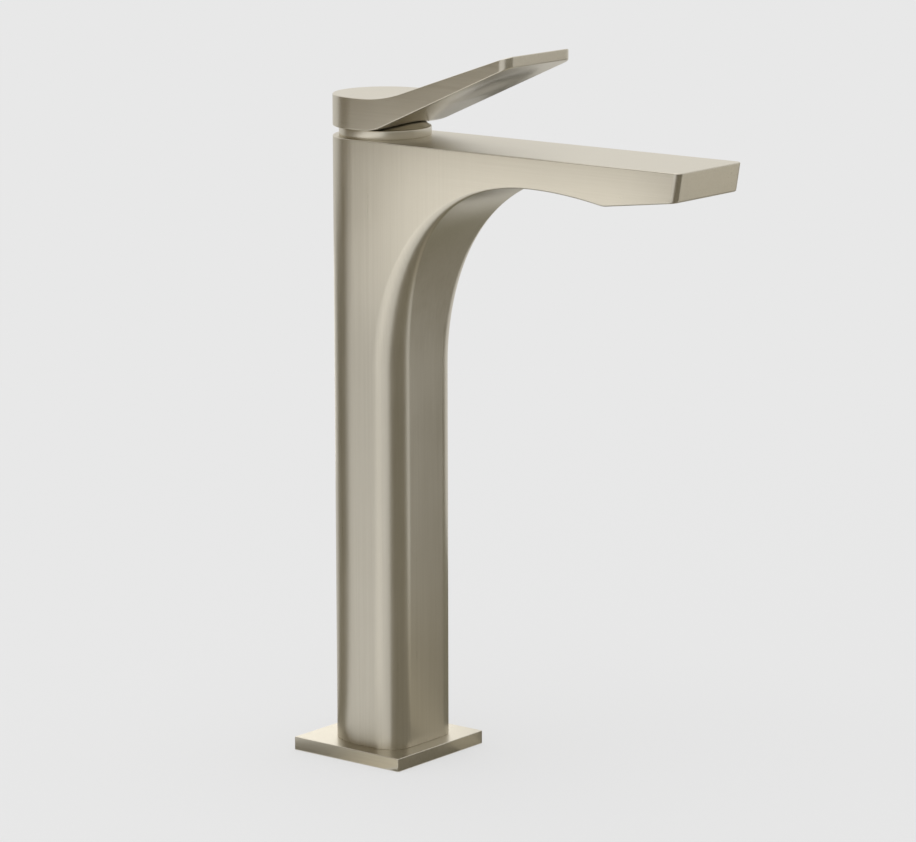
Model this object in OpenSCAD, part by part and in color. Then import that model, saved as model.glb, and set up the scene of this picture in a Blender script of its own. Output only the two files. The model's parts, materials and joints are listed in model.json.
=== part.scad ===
// Tall single-lever basin faucet with a sheet-water outlet.
// Origin: centre of the tap hole, on the deck. +Z is up, the spout points along -Y.

/* [Body] */
// Half width of the body and radius of its round back
body_r = 23; // [22.5:0.1:25]
// Height of the flat top of the body above the deck
body_top_z = 277; // [262:1:320]
// How far the flat front of the column stands back from the round back's radius
front_setback = 0.7; // [0:0.1:1]
// Radius of the column's two front corners
column_corner_r = 12; // [10:0.5:13]
// Wall of the column round its hollow
column_wall = 4; // [3.6:0.1:4.5]

/* [Spout] */
// Distance from the tap axis to the tip of the spout
spout_reach = 173.6; // [165:0.1:200]
// Thickness of the spout at the top of its arch
spout_t = 13.25; // [12.75:0.25:15]
// Thickness of the spout at the bend before the outlet face
knee_t = 17.1; // [16.5:0.1:19]
// Thickness of the spout at its tip
tip_t = 12.5; // [12:0.1:14]
// Length of the slanted outlet face under the tip
outlet_face_l = 37; // [35:0.5:44]
// How far the bottom of the tip stands back from its top
tip_lean = 2.1; // [0:0.1:4]
// Radius of the tip's two upright corners
tip_corner_r = 3; // [1:0.5:6]
// Distance below the top at which the column starts to curve into the arch
arch_drop = 102.5; // [90:0.5:115]
// Distance from the tap axis to the highest point of the arch
arch_end_y = 96; // [88:1:104]
// How strongly the arch holds to the column's upright line
arch_pull_up = 39; // [30:1:50]
// How strongly the arch holds to the spout's level line
arch_pull_out = 60; // [50:1:64]
// Radius of the spout's lower side edges past the arch
edge_r = 0.8; // [0.5:0.1:2]

/* [Base plate] */
// Side of the square base plate
plate_w = 60; // [58:0.5:70]
// Thickness of the base plate
plate_t = 6; // [5:0.25:10]
// Bevel on the upper edges of the plate
plate_bevel = 0.3; // [0.1:0.1:1]
// Radius of the hole in the plate
plate_hole_r = 17; // [16.6:0.1:17.4]
// Radius of the seal groove under the plate
base_seal_r = 24; // [22:0.5:26]
// Thickness of the seal ring under the plate
base_seal_t = 2.4; // [1.6:0.1:3]

/* [Column foot] */
// Distance of the seal ring under the body from the column's hollow
body_seal_inset = 1.8; // [1.4:0.1:2]
// Thickness of that ring
body_seal_t = 1.4; // [1:0.1:1.6]
// Height of the inlet block
block_h = 20; // [18:0.5:30]
// Height of the inlet block's underside above the base plate
block_lift = 2; // [1:0.5:4]
// Distance of each water way from the middle plane
way_x = 7.5; // [7.2:0.1:8]
// Distance of the water ways in front of the tap axis
way_y = 6; // [5:0.1:6.5]
// Radius of the threaded hose inlets, M10 x 1
inlet_r = 4.5; // [4:0.1:5]
// Depth of the threaded hose inlets
inlet_depth = 11; // [8:0.5:11]
// Outer radius of the supply tubes
tube_r = 5; // [4.5:0.1:5.2]
// Wall of the supply tubes
tube_wall = 1; // [0.6:0.1:1.4]
// Depth of the sockets that hold the supply tubes
socket_depth = 7; // [5:0.5:7.5]
// Thickness of the seal rings on the tubes
tube_seal_t = 1.4; // [1:0.1:1.6]

/* [Valve seat] */
// Depth of the cartridge ledge below the top of the body
ledge_depth = 15; // [13:0.5:18]
// Height of the chamber below that ledge
chamber_h = 33; // [32:0.5:36]
// Wall of the body round the threaded bore above the ledge
thread_wall = 3.5; // [3.2:0.1:3.7]
// Width of the ledge between that bore and the chamber
ledge_w = 0.9; // [0.7:0.1:1.1]
// Thickness of the floor between the chamber and the hollow column
web_t = 13; // [11:0.5:16]
// Wall between the water gallery and the outside of the spout
gallery_wall = 3.2; // [2.5:0.1:3.6]

/* [Cartridge] */
// Gap for the water between the cartridge and its chamber
cart_gap = 1.1; // [0.8:0.1:1.4]
// Wall of the cartridge housing
cart_wall = 1.1; // [0.8:0.1:1.3]
// Thickness of the housing's upper flange
flange_t = 4.5; // [3.5:0.5:5.5]
// Thickness of the base of the cartridge
cart_base_t = 5.7; // [5:0.1:6.5]
// Gap round the fixed ceramic disc
disc_gap = 1.4; // [0.6:0.1:2.4]
// Border of the fixed disc that the moving disc leaves bare
disc_border = 2.8; // [2.6:0.1:3.5]
// Thickness of each ceramic disc
disc_t = 4; // [3.5:0.25:4.5]
// Radius of the water ports in the cartridge
port_r = 2.7; // [2:0.1:3]
// Radius of the mixing pocket in the moving disc
pocket_r = 7.6; // [6.5:0.1:7.8]
// Height of the carrier that pushes the moving disc
carrier_h = 8.7; // [8.2:0.1:9.5]
// Step from the cartridge's outside to the rotor's neck
rotor_step = 3.5; // [3.3:0.1:4.1]
// Height of the rotor above the housing
rotor_proud = 2.1; // [1.8:0.1:3]
// Radius of the pivot pin
pin_r = 1.5; // [1.2:0.1:2]

/* [Collar and nut] */
// Step from the body's outside to the collar ring under the hub
collar_step = 2.7; // [2:0.1:3]
// Width of the collar's lip over the nut
collar_lip_w = 1.1; // [0.7:0.1:1.2]
// Gap between the rotor and the nut round it
nut_gap = 0.8; // [0.7:0.1:1.2]
// Wall of the collar outside the nut's neck
collar_wall = 3.2; // [2.8:0.1:3.5]
// Height of the nut's neck above the body
nut_neck_h = 3.6; // [3:0.1:3.8]

/* [Lever] */
// Gap between the top of the body and the hub
hub_gap = 4.2; // [4:0.1:6]
// Height of the hub
hub_h = 14; // [13.5:0.5:18]
// Depth of the lever's pivot below the top of the body
pivot_depth = 15; // [14.5:0.1:15.5]
// Distance from the tap axis to the tip of the lever
lever_reach = 85; // [70:1:110]
// Slope of the lever's upper face
top_slope = 18.84; // [14:0.2:20]
// Distance at which the sloping upper face meets the level of the hub's top
top_break_y = 16.4; // [12:0.2:24]
// Radius of the hollow bend between hub and lever
bend_r = 70; // [30:1:78]
// Thickness of the lever at its tip
lever_tip_t = 4.8; // [4:0.1:7]
// Distance at which the sloping underside leaves the hub
under_break_y = 9.5; // [7:0.5:12]
// Radius of the lever's two front corners
lever_corner_r = 4.3; // [2:0.1:8]
// Radius of the boss that grips the stem
boss_r = 7; // [6.8:0.1:7.2]
// Side of the square stem
stem_w = 8; // [7:0.1:8.1]
// Radius of the screw that locks the hub, M4
grub_r = 2; // [1.5:0.1:2]
// Space between that screw and the plug over it
grub_gap = 2; // [1.5:0.5:6]
// Radius of the plug that covers the screw
plug_r = 2.6; // [2.2:0.1:3]

/* [Outlet] */
// Border of the spout at each end of the outlet insert
insert_border = 5; // [4:0.25:6]
// Width of the outlet insert along the spout
insert_w = 24; // [20:0.5:26]
// Thickness of the outlet insert
insert_t = 3.3; // [3:0.1:3.4]
// Border of the insert at each end of the water slot
slot_border = 3; // [2.5:0.25:6]
// Width of the water slot
slot_w = 3.6; // [2:0.1:5]
// Thickness of the seal above the insert
outlet_seal_t = 0.9; // [0.6:0.1:1.2]
// Thickness of the flow straightener
straightener_t = 1.1; // [0.8:0.1:1.4]
// Number of bars in the flow straightener
straightener_bars = 9; // [5:1:13]

/* [Fixing] */
// Thickness of the deck between the base plate and the clamp
deck_t = 20; // [5:1:40]
// Radius of the mounting stud, M8
stud_r = 4; // [3:0.5:4]
// Distance of the stud behind the tap axis
stud_y = 10; // [9.6:0.1:12]
// Length of the stud below the deck's top
stud_drop = 75; // [65:1:100]
// Depth of the threaded hole that holds the stud
stud_hold = 12; // [8:0.5:14]
// Outer radius of the clamp plate
clamp_r = 26; // [24:0.5:29]
// Thickness of the steel clamp plate
clamp_t = 3; // [2:0.5:5]
// Thickness of the rubber pad above the clamp plate
pad_t = 3; // [2:0.5:5]
// Height of the mounting nut
mount_nut_h = 8; // [5:0.5:16]
// Width of the mounting nut across its flats
mount_nut_af = 13; // [11:0.5:14]

/* [Clearances] */
// Gap round pieces that are screwed, pushed or glued in
seat_gap = 0.05; // [0.03:0.01:0.08]
// Gap between a turning pin or rotor and its bore
turn_gap = 0.06; // [0.03:0.01:0.09]
// Gap between moving pieces that must not touch
free_gap = 0.3; // [0.2:0.05:0.4]
// Gap between the ball cavity of the hub and the rim of the body
rim_gap = 0.44; // [0.3:0.02:0.6]
// Gap between the ball cavity of the hub and the domed collar
dome_gap = 0.7; // [0.5:0.05:1]

/* [Hidden] */
$fn = 64;

satin = [0.70, 0.66, 0.57];
brass = [0.78, 0.64, 0.36];
steel = [0.62, 0.63, 0.65];
copper = [0.76, 0.48, 0.34];
rubber = [0.13, 0.13, 0.14];
ceramic = [0.90, 0.89, 0.86];
plastic = [0.86, 0.87, 0.88];
dark_plastic = [0.25, 0.26, 0.28];

eps = 0.01;
over = 1;

// Radii, from the body's outside inwards
column_front = body_r - front_setback;
column_bore_r = body_r - column_wall;
body_seal_r = column_bore_r + body_seal_inset;
thread_r = body_r - thread_wall;
chamber_r = thread_r - ledge_w;
cart_r = chamber_r - cart_gap;
cart_bore_r = cart_r - cart_wall;
fixed_disc_r = cart_bore_r - disc_gap;
moving_disc_r = fixed_disc_r - disc_border;
rotor_r = cart_r - rotor_step;
nut_hole_r = rotor_r + nut_gap;
collar_r = body_r - collar_step;
nut_neck_r = collar_r - collar_wall;
collar_hole_r = nut_neck_r - collar_lip_w;

// Heights in the body, from the top down
ledge_z = body_top_z - ledge_depth;
floor_z = ledge_z - chamber_h;
web_z = floor_z - web_t;
pivot_z = body_top_z - pivot_depth;
block_z = plate_t + block_lift;
block_top_z = block_z + block_h;

// Heights in the cartridge, from the floor up
cart_z = floor_z + free_gap;
rim_t = 2;
fixed_z = cart_z + cart_base_t;
moving_z = fixed_z + disc_t;
carrier_z = moving_z + disc_t;
rotor_z = carrier_z + carrier_h + free_gap;
rotor_flange_t = 3.7;
neck_z = rotor_z + rotor_flange_t + free_gap;
housing_top_z = ledge_z + flange_t;
rotor_top_z = housing_top_z + rotor_proud;

// Lower end of the stem: a roller that pushes the carrier
roller_r = 3;
roller_z = carrier_z + roller_r + 2;
stem_foot_z = rotor_z + free_gap;
disc_offset = 1.2;
outlet_port_y = 5.5;
outlet_port_r = 3.5;
lug_x = 9.2;
lug_w = 2;
lug_l = 16;
lug_drop = 4.5;
lift_max = 20;
stem_slot = stem_w / 2 * cos(lift_max) + free_gap
    + (rotor_top_z - pivot_z + stem_w / 2 * sin(lift_max)) * tan(lift_max);

// The hub turns about the pivot, so collar and hub cavity are spheres about it
rim_dist = sqrt(pow(body_r, 2) + pow(pivot_depth, 2));
cavity_r = rim_dist + rim_gap;
dome_r = cavity_r - dome_gap;
hub_z = body_top_z + hub_gap;
hub_top_z = hub_z + hub_h;
socket_top_z = hub_top_z - 2.3;
stem_top_z = socket_top_z - free_gap;
grub_z = socket_top_z - grub_r - 0.5;
boss_z = rotor_top_z + 3.9;
plug_l = 3;
grub_l = body_r - plug_l - stem_w / 2 - grub_gap;
collar_lip_z = body_top_z + nut_neck_h + free_gap;

// Side outline of the arch: one cubic curve from the column to the spout
arch_p = [
    [-column_front, body_top_z - arch_drop],
    [-column_front, body_top_z - arch_drop + arch_pull_up],
    [-(arch_end_y - arch_pull_out), body_top_z - spout_t],
    [-arch_end_y, body_top_z - spout_t]
];
arch_steps = 28;
tip_foot_y = spout_reach - tip_lean;
knee_y = tip_foot_y - outlet_face_l;
knee_z = body_top_z - knee_t;
tip_foot_z = body_top_z - tip_t;
belly_steps = 8;
belly_pull = 18;
belly_p = [
    [-arch_end_y, body_top_z - spout_t],
    [-(arch_end_y + belly_pull), body_top_z - spout_t],
    [-knee_y, knee_z]
];
face_tilt = atan2(tip_foot_z - knee_z, tip_foot_y - knee_y);
insert_mid = 16.5;
insert_corner = 3;
insert_l = 2 * (body_r - insert_border);
slot_l = insert_l - 2 * slot_border;
pocket_depth = insert_t + outlet_seal_t + 0.2;

function cubic(p, t) =
    pow(1 - t, 3) * p[0] + 3 * pow(1 - t, 2) * t * p[1]
    + 3 * (1 - t) * t * t * p[2] + pow(t, 3) * p[3];
function cubic_dir(p, t) =
    unit(pow(1 - t, 2) * (p[1] - p[0]) + 2 * (1 - t) * t * (p[2] - p[1])
    + t * t * (p[3] - p[2]));
function quad(p, t) = pow(1 - t, 2) * p[0] + 2 * (1 - t) * t * p[1] + t * t * p[2];
function quad_dir(p, t) = unit((1 - t) * (p[1] - p[0]) + t * (p[2] - p[1]));
function unit(v) = v / norm(v);
function smooth(x) = x * x * (3 - 2 * x);

face_dir = [-cos(face_tilt), sin(face_tilt)];
knee_dir = unit(quad_dir(belly_p, 1) + face_dir);

// Stations along the underside: [point, direction, radius of the side edge]. The radius
// starts a little above the column's, so that arch and column meet in a clean seam.
fade_r = column_corner_r + 0.1;
fade_end = 0.95;
arch_stations = [
    for (i = [0:arch_steps]) let (t = i / arch_steps)
        [cubic(arch_p, t), cubic_dir(arch_p, t),
         fade_r + (edge_r - fade_r) * smooth(min(1, t / fade_end))]
];
belly_stations = [
    for (i = [1:belly_steps]) let (t = i / belly_steps)
        [quad(belly_p, t), i == belly_steps ? knee_dir : quad_dir(belly_p, t), edge_r]
];
tip_station = [[-(spout_reach + over), tip_foot_z + (over + tip_lean) * tan(face_tilt)],
               face_dir, edge_r];
edge_stations = concat(arch_stations, belly_stations, [tip_station]);

// Plain rounded rectangle of true arcs
module round_rect(l, w, r) {
    square([l - 2 * r, w], center = true);
    square([l, w - 2 * r], center = true);
    for (x = [-1, 1], y = [-1, 1])
        translate([x * (l / 2 - r), y * (w / 2 - r)]) circle(r);
}

// Prism of a side outline given as [y, z] points, as wide as w
module side_prism(points, w) {
    rotate([90, 0, 90])
        translate([0, 0, -w / 2])
            linear_extrude(w) polygon(points);
}

module ring(r_out, r_in, h) {
    difference() {
        cylinder(r = r_out, h = h);
        translate([0, 0, -over]) cylinder(r = r_in, h = h + 2 * over);
    }
}

module seal_ring(r_mid, t) {
    rotate_extrude() translate([r_mid, 0]) circle(t / 2, $fn = 24);
}

module at_ways() {
    for (x = [-way_x, way_x]) translate([x, -way_y, 0]) children();
}

// Base plate: square cover over the tap hole
module base_plate() {
    b = plate_bevel;
    w = plate_w / 2;
    outline = [[-w, 0], [w, 0], [w, plate_t - b], [w - b, plate_t], [b - w, plate_t], [-w, plate_t - b]];
    color(satin)
    difference() {
        intersection() {
            side_prism(outline, plate_w);
            rotate([0, 0, 90]) side_prism(outline, plate_w);
        }
        translate([0, 0, -over]) cylinder(r = plate_hole_r, h = plate_t + 2 * over);
        translate([0, 0, -over])
            ring(base_seal_r + base_seal_t / 2 + seat_gap, base_seal_r - base_seal_t / 2 - seat_gap,
                 base_seal_t + seat_gap + over);
    }
}

module base_seal() {
    color(rubber) translate([0, 0, base_seal_t / 2]) seal_ring(base_seal_r, base_seal_t);
}

// Column section: round back, straight sides, flat front with large corners
module column_section() {
    r = column_corner_r;
    circle(body_r, $fn = 96);
    translate([-body_r, r - column_front]) square([2 * body_r, column_front - r]);
    translate([r - body_r, -column_front]) square([2 * (body_r - r), column_front]);
    for (x = [-1, 1]) translate([x * (body_r - r), r - column_front]) circle(r);
}

// Plan outline of the head and spout
module spout_plan() {
    r = tip_corner_r;
    circle(body_r, $fn = 96);
    translate([-body_r, r - spout_reach]) square([2 * body_r, spout_reach - r]);
    translate([r - body_r, -spout_reach]) square([2 * (body_r - r), spout_reach]);
    for (x = [-1, 1]) translate([x * (body_r - r), r - spout_reach]) circle(r);
}

head_side = [
    [body_r + over, arch_p[0][1]], [body_r + over, body_top_z], [-spout_reach, body_top_z],
    [tip_lean * arch_drop / tip_t - spout_reach, arch_p[0][1]]
];

// Tool that takes away everything under the arch: it leaves the curved underside
// and the rounded lower side edges, whose radius fades along the spout
arc_steps = 6;
edge_run = 4;
function edge_section(s) =
    let (r = s[2], x = body_r - r,
         arc = [for (k = [0:arc_steps]) let (a = 90 * k / arc_steps) [x + r * cos(a), r * sin(a) - r]],
         start = arc[0] + edge_run * unit(arc[0] - arc[1]),
         half = concat([start], [for (k = [1:arc_steps]) arc[k]]),
         across = concat(half, [for (k = [arc_steps:-1:0]) [-half[k][0], half[k][1]]]))
    [for (q = across) [q[0], s[0][0] - q[1] * s[1][1], s[0][1] + q[1] * s[1][0]]];
// Point in the planes of the first and the last section, clear of the body
far_drop = (tip_station[0][1] - arch_p[0][1]) / cos(face_tilt);
far_y = tip_station[0][0] - far_drop * sin(face_tilt);
far_x = body_r + edge_run * sin(45 / arc_steps);

module under_tool() {
    m = 2 * (arc_steps + 1);
    count = len(edge_stations);
    points = concat(
        [for (s = edge_stations) for (q = edge_section(s)) q],
        [[far_x, far_y, arch_p[0][1]], [-far_x, far_y, arch_p[0][1]]]
    );
    right = count * m;
    left = right + 1;
    strips = [
        for (i = [0:count - 2], k = [0:m - 2])
            let (a = i * m + k, b = a + 1, c = a + m, d = b + m)
            each [[a, d, b], [a, c, d]]
    ];
    fans = [
        for (i = [0:count - 2])
            let (a = i * m, b = a + m - 1)
            each [[a, right, a + m], [b, b + m, left]]
    ];
    h = m / 2;
    top = (count - 1) * m;
    ends = [
        for (k = [0:m - 2]) if (k != h - 1)
            let (c = k < h ? right : left)
            each [[c, k, k + 1], [c, top + k + 1, top + k]]
    ];
    middles = [[h - 1, h, left, right], [left, top + h, top + h - 1, right]];
    polyhedron(points, concat(strips, fans, ends, middles), convexity = 8);
}

// Hollow for the water from the cartridge chamber to the outlet
gallery_end = 12;

module water_gallery() {
    low = [
        for (i = [round(arch_steps * 0.57):2:arch_steps])
            let (s = arch_stations[i]) s[0] - gallery_wall * [-s[1][1], s[1][0]]
    ];
    end_y = spout_reach - gallery_end;
    roof_z = body_top_z - gallery_wall;
    points = concat(
        [[-chamber_r + 4, low[0][1]]], low,
        [[-end_y, body_top_z - spout_t + gallery_wall], [-end_y, roof_z], [-50, roof_z],
         [-chamber_r + 4, ledge_z - 5]]
    );
    side_prism(points, 2 * (body_r - gallery_wall));
}

// Frame of the outlet face: origin on the face, +Z into the spout, +Y towards the bend
module at_outlet() {
    translate([0, -knee_y, knee_z])
        rotate([-face_tilt, 0, 0])
            translate([0, -insert_mid, 0])
                children();
}

module body() {
    color(satin)
    difference() {
        union() {
            translate([0, 0, plate_t])
                linear_extrude(arch_p[0][1] - plate_t) column_section();
            difference() {
                intersection() {
                    translate([0, 0, arch_p[0][1]])
                        linear_extrude(arch_drop) spout_plan();
                    side_prism(head_side, 2 * body_r + 2 * over);
                }
                under_tool();
            }
        }
        translate([0, 0, plate_t - over])
            cylinder(r = column_bore_r, h = web_z - plate_t + over);
        translate([0, 0, floor_z]) cylinder(r = chamber_r, h = chamber_h + over);
        translate([0, 0, ledge_z]) cylinder(r = thread_r, h = ledge_depth + over);
        at_ways() {
            translate([0, 0, web_z - over]) cylinder(r = tube_r + seat_gap, h = socket_depth + over);
            translate([0, 0, web_z - over])
                cylinder(r = tube_r + tube_seal_t + 2 * seat_gap, h = tube_seal_t + over);
            translate([0, 0, web_z]) cylinder(r = port_r, h = web_t + over);
        }
        translate([0, 0, plate_t - over])
            ring(body_seal_r + body_seal_t / 2 + seat_gap, body_seal_r - body_seal_t / 2 - seat_gap,
                 body_seal_t + over);
        water_gallery();
        at_outlet() {
            translate([0, 0, -over])
                linear_extrude(pocket_depth + over) round_rect(insert_l, insert_w, insert_corner);
            linear_extrude(pocket_depth + 6) round_rect(slot_l + 1, slot_w + 4, 1);
        }
    }
}

module body_seal() {
    color(rubber) translate([0, 0, plate_t + body_seal_t / 2]) seal_ring(body_seal_r, body_seal_t - seat_gap);
}

// Brass block screwed into the column's foot: hose inlets below, tube sockets above
module inlet_block() {
    color(brass)
    difference() {
        translate([0, 0, block_z]) cylinder(r = column_bore_r - seat_gap, h = block_h);
        at_ways() {
            translate([0, 0, block_z - over]) cylinder(r = inlet_r, h = inlet_depth + over);
            translate([0, 0, block_z]) cylinder(r = port_r, h = block_h);
            translate([0, 0, block_top_z - socket_depth])
                cylinder(r = tube_r + seat_gap, h = socket_depth + over);
            translate([0, 0, block_top_z - tube_seal_t])
                cylinder(r = tube_r + tube_seal_t + 2 * seat_gap, h = tube_seal_t + over);
        }
        translate([0, stud_y, block_z - over]) cylinder(r = stud_r + seat_gap, h = stud_hold + over);
    }
}

module supply_tube(x) {
    low = block_top_z - socket_depth + seat_gap;
    high = web_z + socket_depth - seat_gap;
    color(copper) translate([x, -way_y, low]) ring(tube_r, tube_r - tube_wall, high - low);
}

module supply_tube_cold() {
    supply_tube(way_x);
}

module supply_tube_hot() {
    supply_tube(-way_x);
}

module tube_seals() {
    color(rubber)
    at_ways()
        for (z = [block_top_z - tube_seal_t / 2, web_z + tube_seal_t / 2])
            translate([0, 0, z]) seal_ring(tube_r + seat_gap + tube_seal_t / 2, tube_seal_t - seat_gap);
}

// Cartridge: base with two inlets and a side outlet, held in the housing
port_seal_t = 1.7;
port_seal_r = port_r + 1.7;

module cartridge_base() {
    color(plastic)
    difference() {
        union() {
            translate([0, 0, cart_z]) cylinder(r = cart_r, h = rim_t);
            translate([0, 0, cart_z]) cylinder(r = cart_bore_r - seat_gap, h = cart_base_t);
        }
        at_ways() {
            translate([0, 0, cart_z - over]) cylinder(r = port_r, h = cart_base_t + 2 * over);
            translate([0, 0, cart_z - over])
                cylinder(r = port_seal_r + port_seal_t / 2 + seat_gap, h = port_seal_t - free_gap + over);
        }
        translate([0, outlet_port_y, cart_z + rim_t]) cylinder(r = outlet_port_r, h = cart_base_t);
        translate([-outlet_port_r, outlet_port_y, cart_z + rim_t])
            cube([2 * outlet_port_r, cart_r, cart_base_t - rim_t - 1]);
    }
}

module port_seals() {
    color(rubber)
    at_ways()
        translate([0, 0, floor_z + port_seal_t / 2]) seal_ring(port_seal_r, port_seal_t - seat_gap);
}

window_w = 10;
window_z = 10;
window_h = 12;

module cartridge_housing() {
    low = cart_z + rim_t + seat_gap;
    color(dark_plastic)
    difference() {
        union() {
            translate([0, 0, low]) cylinder(r = cart_r, h = housing_top_z - low);
            translate([0, 0, ledge_z]) cylinder(r = thread_r - free_gap / 2, h = flange_t);
        }
        translate([0, 0, low - over]) cylinder(r = cart_bore_r, h = neck_z - low + over);
        translate([0, 0, neck_z - over]) cylinder(r = rotor_r + turn_gap, h = housing_top_z);
        for (a = [0, 90, 180, 270]) rotate([0, 0, a])
            translate([-window_w / 2, cart_r - 3, cart_z + window_z]) cube([window_w, 5, window_h]);
        translate([-outlet_port_r, 0, low - over])
            cube([2 * outlet_port_r, cart_r + over, cart_base_t - rim_t + over]);
        translate([0, 0, housing_seal_z])
            ring(cart_r + over, cart_r - housing_seal_in, housing_seal_t + 2 * seat_gap);
    }
}

housing_seal_in = 0.6;
housing_seal_t = chamber_r - cart_r + housing_seal_in - 2 * seat_gap;
housing_seal_z = ledge_z - 4;

module housing_seal() {
    color(rubber)
    translate([0, 0, housing_seal_z + seat_gap + housing_seal_t / 2])
        seal_ring(chamber_r - seat_gap - housing_seal_t / 2, housing_seal_t);
}

module fixed_disc() {
    color(ceramic)
    difference() {
        translate([0, 0, fixed_z]) cylinder(r = fixed_disc_r, h = disc_t);
        at_ways() translate([0, 0, fixed_z - over]) cylinder(r = port_r, h = disc_t + 2 * over);
        translate([0, outlet_port_y, fixed_z - over]) cylinder(r = outlet_port_r, h = disc_t + 2 * over);
    }
}

module moving_disc() {
    color(ceramic)
    difference() {
        translate([0, disc_offset, moving_z]) cylinder(r = moving_disc_r, h = disc_t);
        translate([0, disc_offset + 1.3, moving_z - over]) cylinder(r = pocket_r, h = disc_t * 0.6 + over);
    }
}

// Carrier: flat-sided block on the moving disc with a slot for the stem's roller
module disc_carrier() {
    flat_x = lug_x - free_gap;
    slot_r = roller_r + turn_gap;
    color(plastic)
    difference() {
        union() {
            translate([0, disc_offset, carrier_z]) cylinder(r = moving_disc_r, h = 3);
            intersection() {
                translate([0, disc_offset, carrier_z]) cylinder(r = moving_disc_r, h = carrier_h);
                translate([-flat_x, -chamber_r, carrier_z]) cube([2 * flat_x, 2 * chamber_r, carrier_h]);
            }
        }
        translate([-stem_w / 2 - free_gap, -slot_r, roller_z - roller_r - free_gap])
            cube([stem_w + 2 * free_gap, 2 * slot_r, carrier_h]);
        translate([-stem_w / 2 - free_gap, -slot_r - 2, roller_z + 1])
            cube([stem_w + 2 * free_gap, 2 * slot_r + 4, carrier_h]);
    }
}

// Rotor: turns in the housing, carries the pivot pin and guides the carrier
module rotor() {
    color(plastic)
    difference() {
        union() {
            translate([0, 0, rotor_z]) cylinder(r = cart_bore_r - free_gap, h = rotor_flange_t);
            translate([0, 0, rotor_z]) cylinder(r = rotor_r, h = rotor_top_z - rotor_z);
            for (s = [-1, 1])
                translate([s * (lug_x + lug_w / 2) - lug_w / 2, -lug_l / 2, rotor_z - lug_drop])
                    cube([lug_w, lug_l, lug_drop + eps]);
        }
        translate([-stem_w / 2 - free_gap, -stem_slot, rotor_z - over])
            cube([stem_w + 2 * free_gap, 2 * stem_slot, rotor_top_z]);
        translate([-rotor_r, 0, pivot_z]) rotate([0, 90, 0])
            cylinder(r = pin_r + seat_gap, h = 2 * rotor_r);
        for (s = [-1, 1])
            translate([s * rotor_r - 1, -1.6, housing_top_z + seat_gap]) cube([2, 3.2, rotor_proud + over]);
    }
}

module pivot_pin() {
    pin_l = 2 * rotor_r - 2;
    color(steel) translate([-pin_l / 2, 0, pivot_z]) rotate([0, 90, 0]) cylinder(r = pin_r, h = pin_l);
}

// Ring keyed to the rotor that limits the hot side
limit_ring_r = rotor_r + 2.5;
limit_ring_t = 1.7;

module limit_ring() {
    color([0.75, 0.16, 0.14])
    translate([0, 0, housing_top_z + free_gap / 2]) {
        ring(limit_ring_r, rotor_r + free_gap / 2, limit_ring_t);
        for (s = [-1, 1])
            translate([s * (rotor_r + 0.2) - 0.6, -1.4, 0]) cube([1.2, 2.8, limit_ring_t]);
    }
}

// Nut that holds the cartridge down on its ledge
module cartridge_nut() {
    shoulder_z = body_top_z - 0.4;
    relief_h = limit_ring_t + 2 * free_gap;
    color(brass)
    difference() {
        union() {
            translate([0, 0, housing_top_z]) cylinder(r = thread_r - seat_gap, h = shoulder_z - housing_top_z);
            translate([0, 0, housing_top_z])
                cylinder(r = nut_neck_r, h = body_top_z + nut_neck_h - housing_top_z);
        }
        translate([0, 0, housing_top_z - over])
            cylinder(r = nut_hole_r, h = body_top_z + nut_neck_h);
        translate([0, 0, housing_top_z - over])
            cylinder(r = limit_ring_r + free_gap, h = relief_h + over);
        for (a = [0:60:120]) rotate([0, 0, a])
            translate([-nut_neck_r - 1, -1.5, body_top_z + nut_neck_h - 1.6])
                cube([2 * nut_neck_r + 2, 3, 2]);
    }
}

// Domed collar between body and hub, seated on the body's top
module collar_ring() {
    color(satin)
    difference() {
        intersection() {
            translate([0, 0, body_top_z]) cylinder(r = collar_r, h = hub_h, $fn = 96);
            translate([0, 0, pivot_z]) sphere(dome_r, $fn = 96);
        }
        translate([0, 0, body_top_z - over]) cylinder(r = nut_neck_r + seat_gap, h = collar_lip_z - body_top_z + over);
        translate([0, 0, body_top_z]) cylinder(r = collar_hole_r, h = hub_h + over);
    }
}

// Square stem from the roller to the hub, hinged on the pivot pin
module lever_stem() {
    w = stem_w / 2;
    roller_w = roller_r - 0.4;
    color(steel)
    difference() {
        union() {
            translate([-w, -w, stem_foot_z + 3]) cube([stem_w, stem_w, stem_top_z - stem_foot_z - 3]);
            translate([-w, -roller_w, roller_z]) cube([stem_w, 2 * roller_w, stem_foot_z + 4 - roller_z]);
            translate([-w, 0, roller_z]) rotate([0, 90, 0]) cylinder(r = roller_r, h = stem_w);
        }
        translate([-stem_w, 0, pivot_z]) rotate([0, 90, 0])
            cylinder(r = pin_r + turn_gap, h = 2 * stem_w);
    }
}

// Lever: side outline with a level hub top, a hollow bend and a rising blade
bend_cut = bend_r * tan(top_slope / 2);
bend_steps = 12;
tip_top_z = hub_top_z + (lever_reach - top_break_y) * tan(top_slope);
lever_side = concat(
    [[0, hub_z], [-under_break_y, hub_z], [-lever_reach, tip_top_z - lever_tip_t],
     [-lever_reach, tip_top_z]],
    [for (i = [bend_steps:-1:0]) let (a = top_slope * i / bend_steps)
        [bend_cut - top_break_y - bend_r * sin(a), hub_top_z + bend_r * (1 - cos(a))]],
    [[0, hub_top_z]]
);

module lever_plan() {
    r = lever_corner_r;
    translate([-body_r, r - lever_reach]) square([2 * body_r, lever_reach - r]);
    translate([r - body_r, -lever_reach]) square([2 * (body_r - r), lever_reach]);
    for (x = [-1, 1]) translate([x * (body_r - r), r - lever_reach]) circle(r);
}

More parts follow.
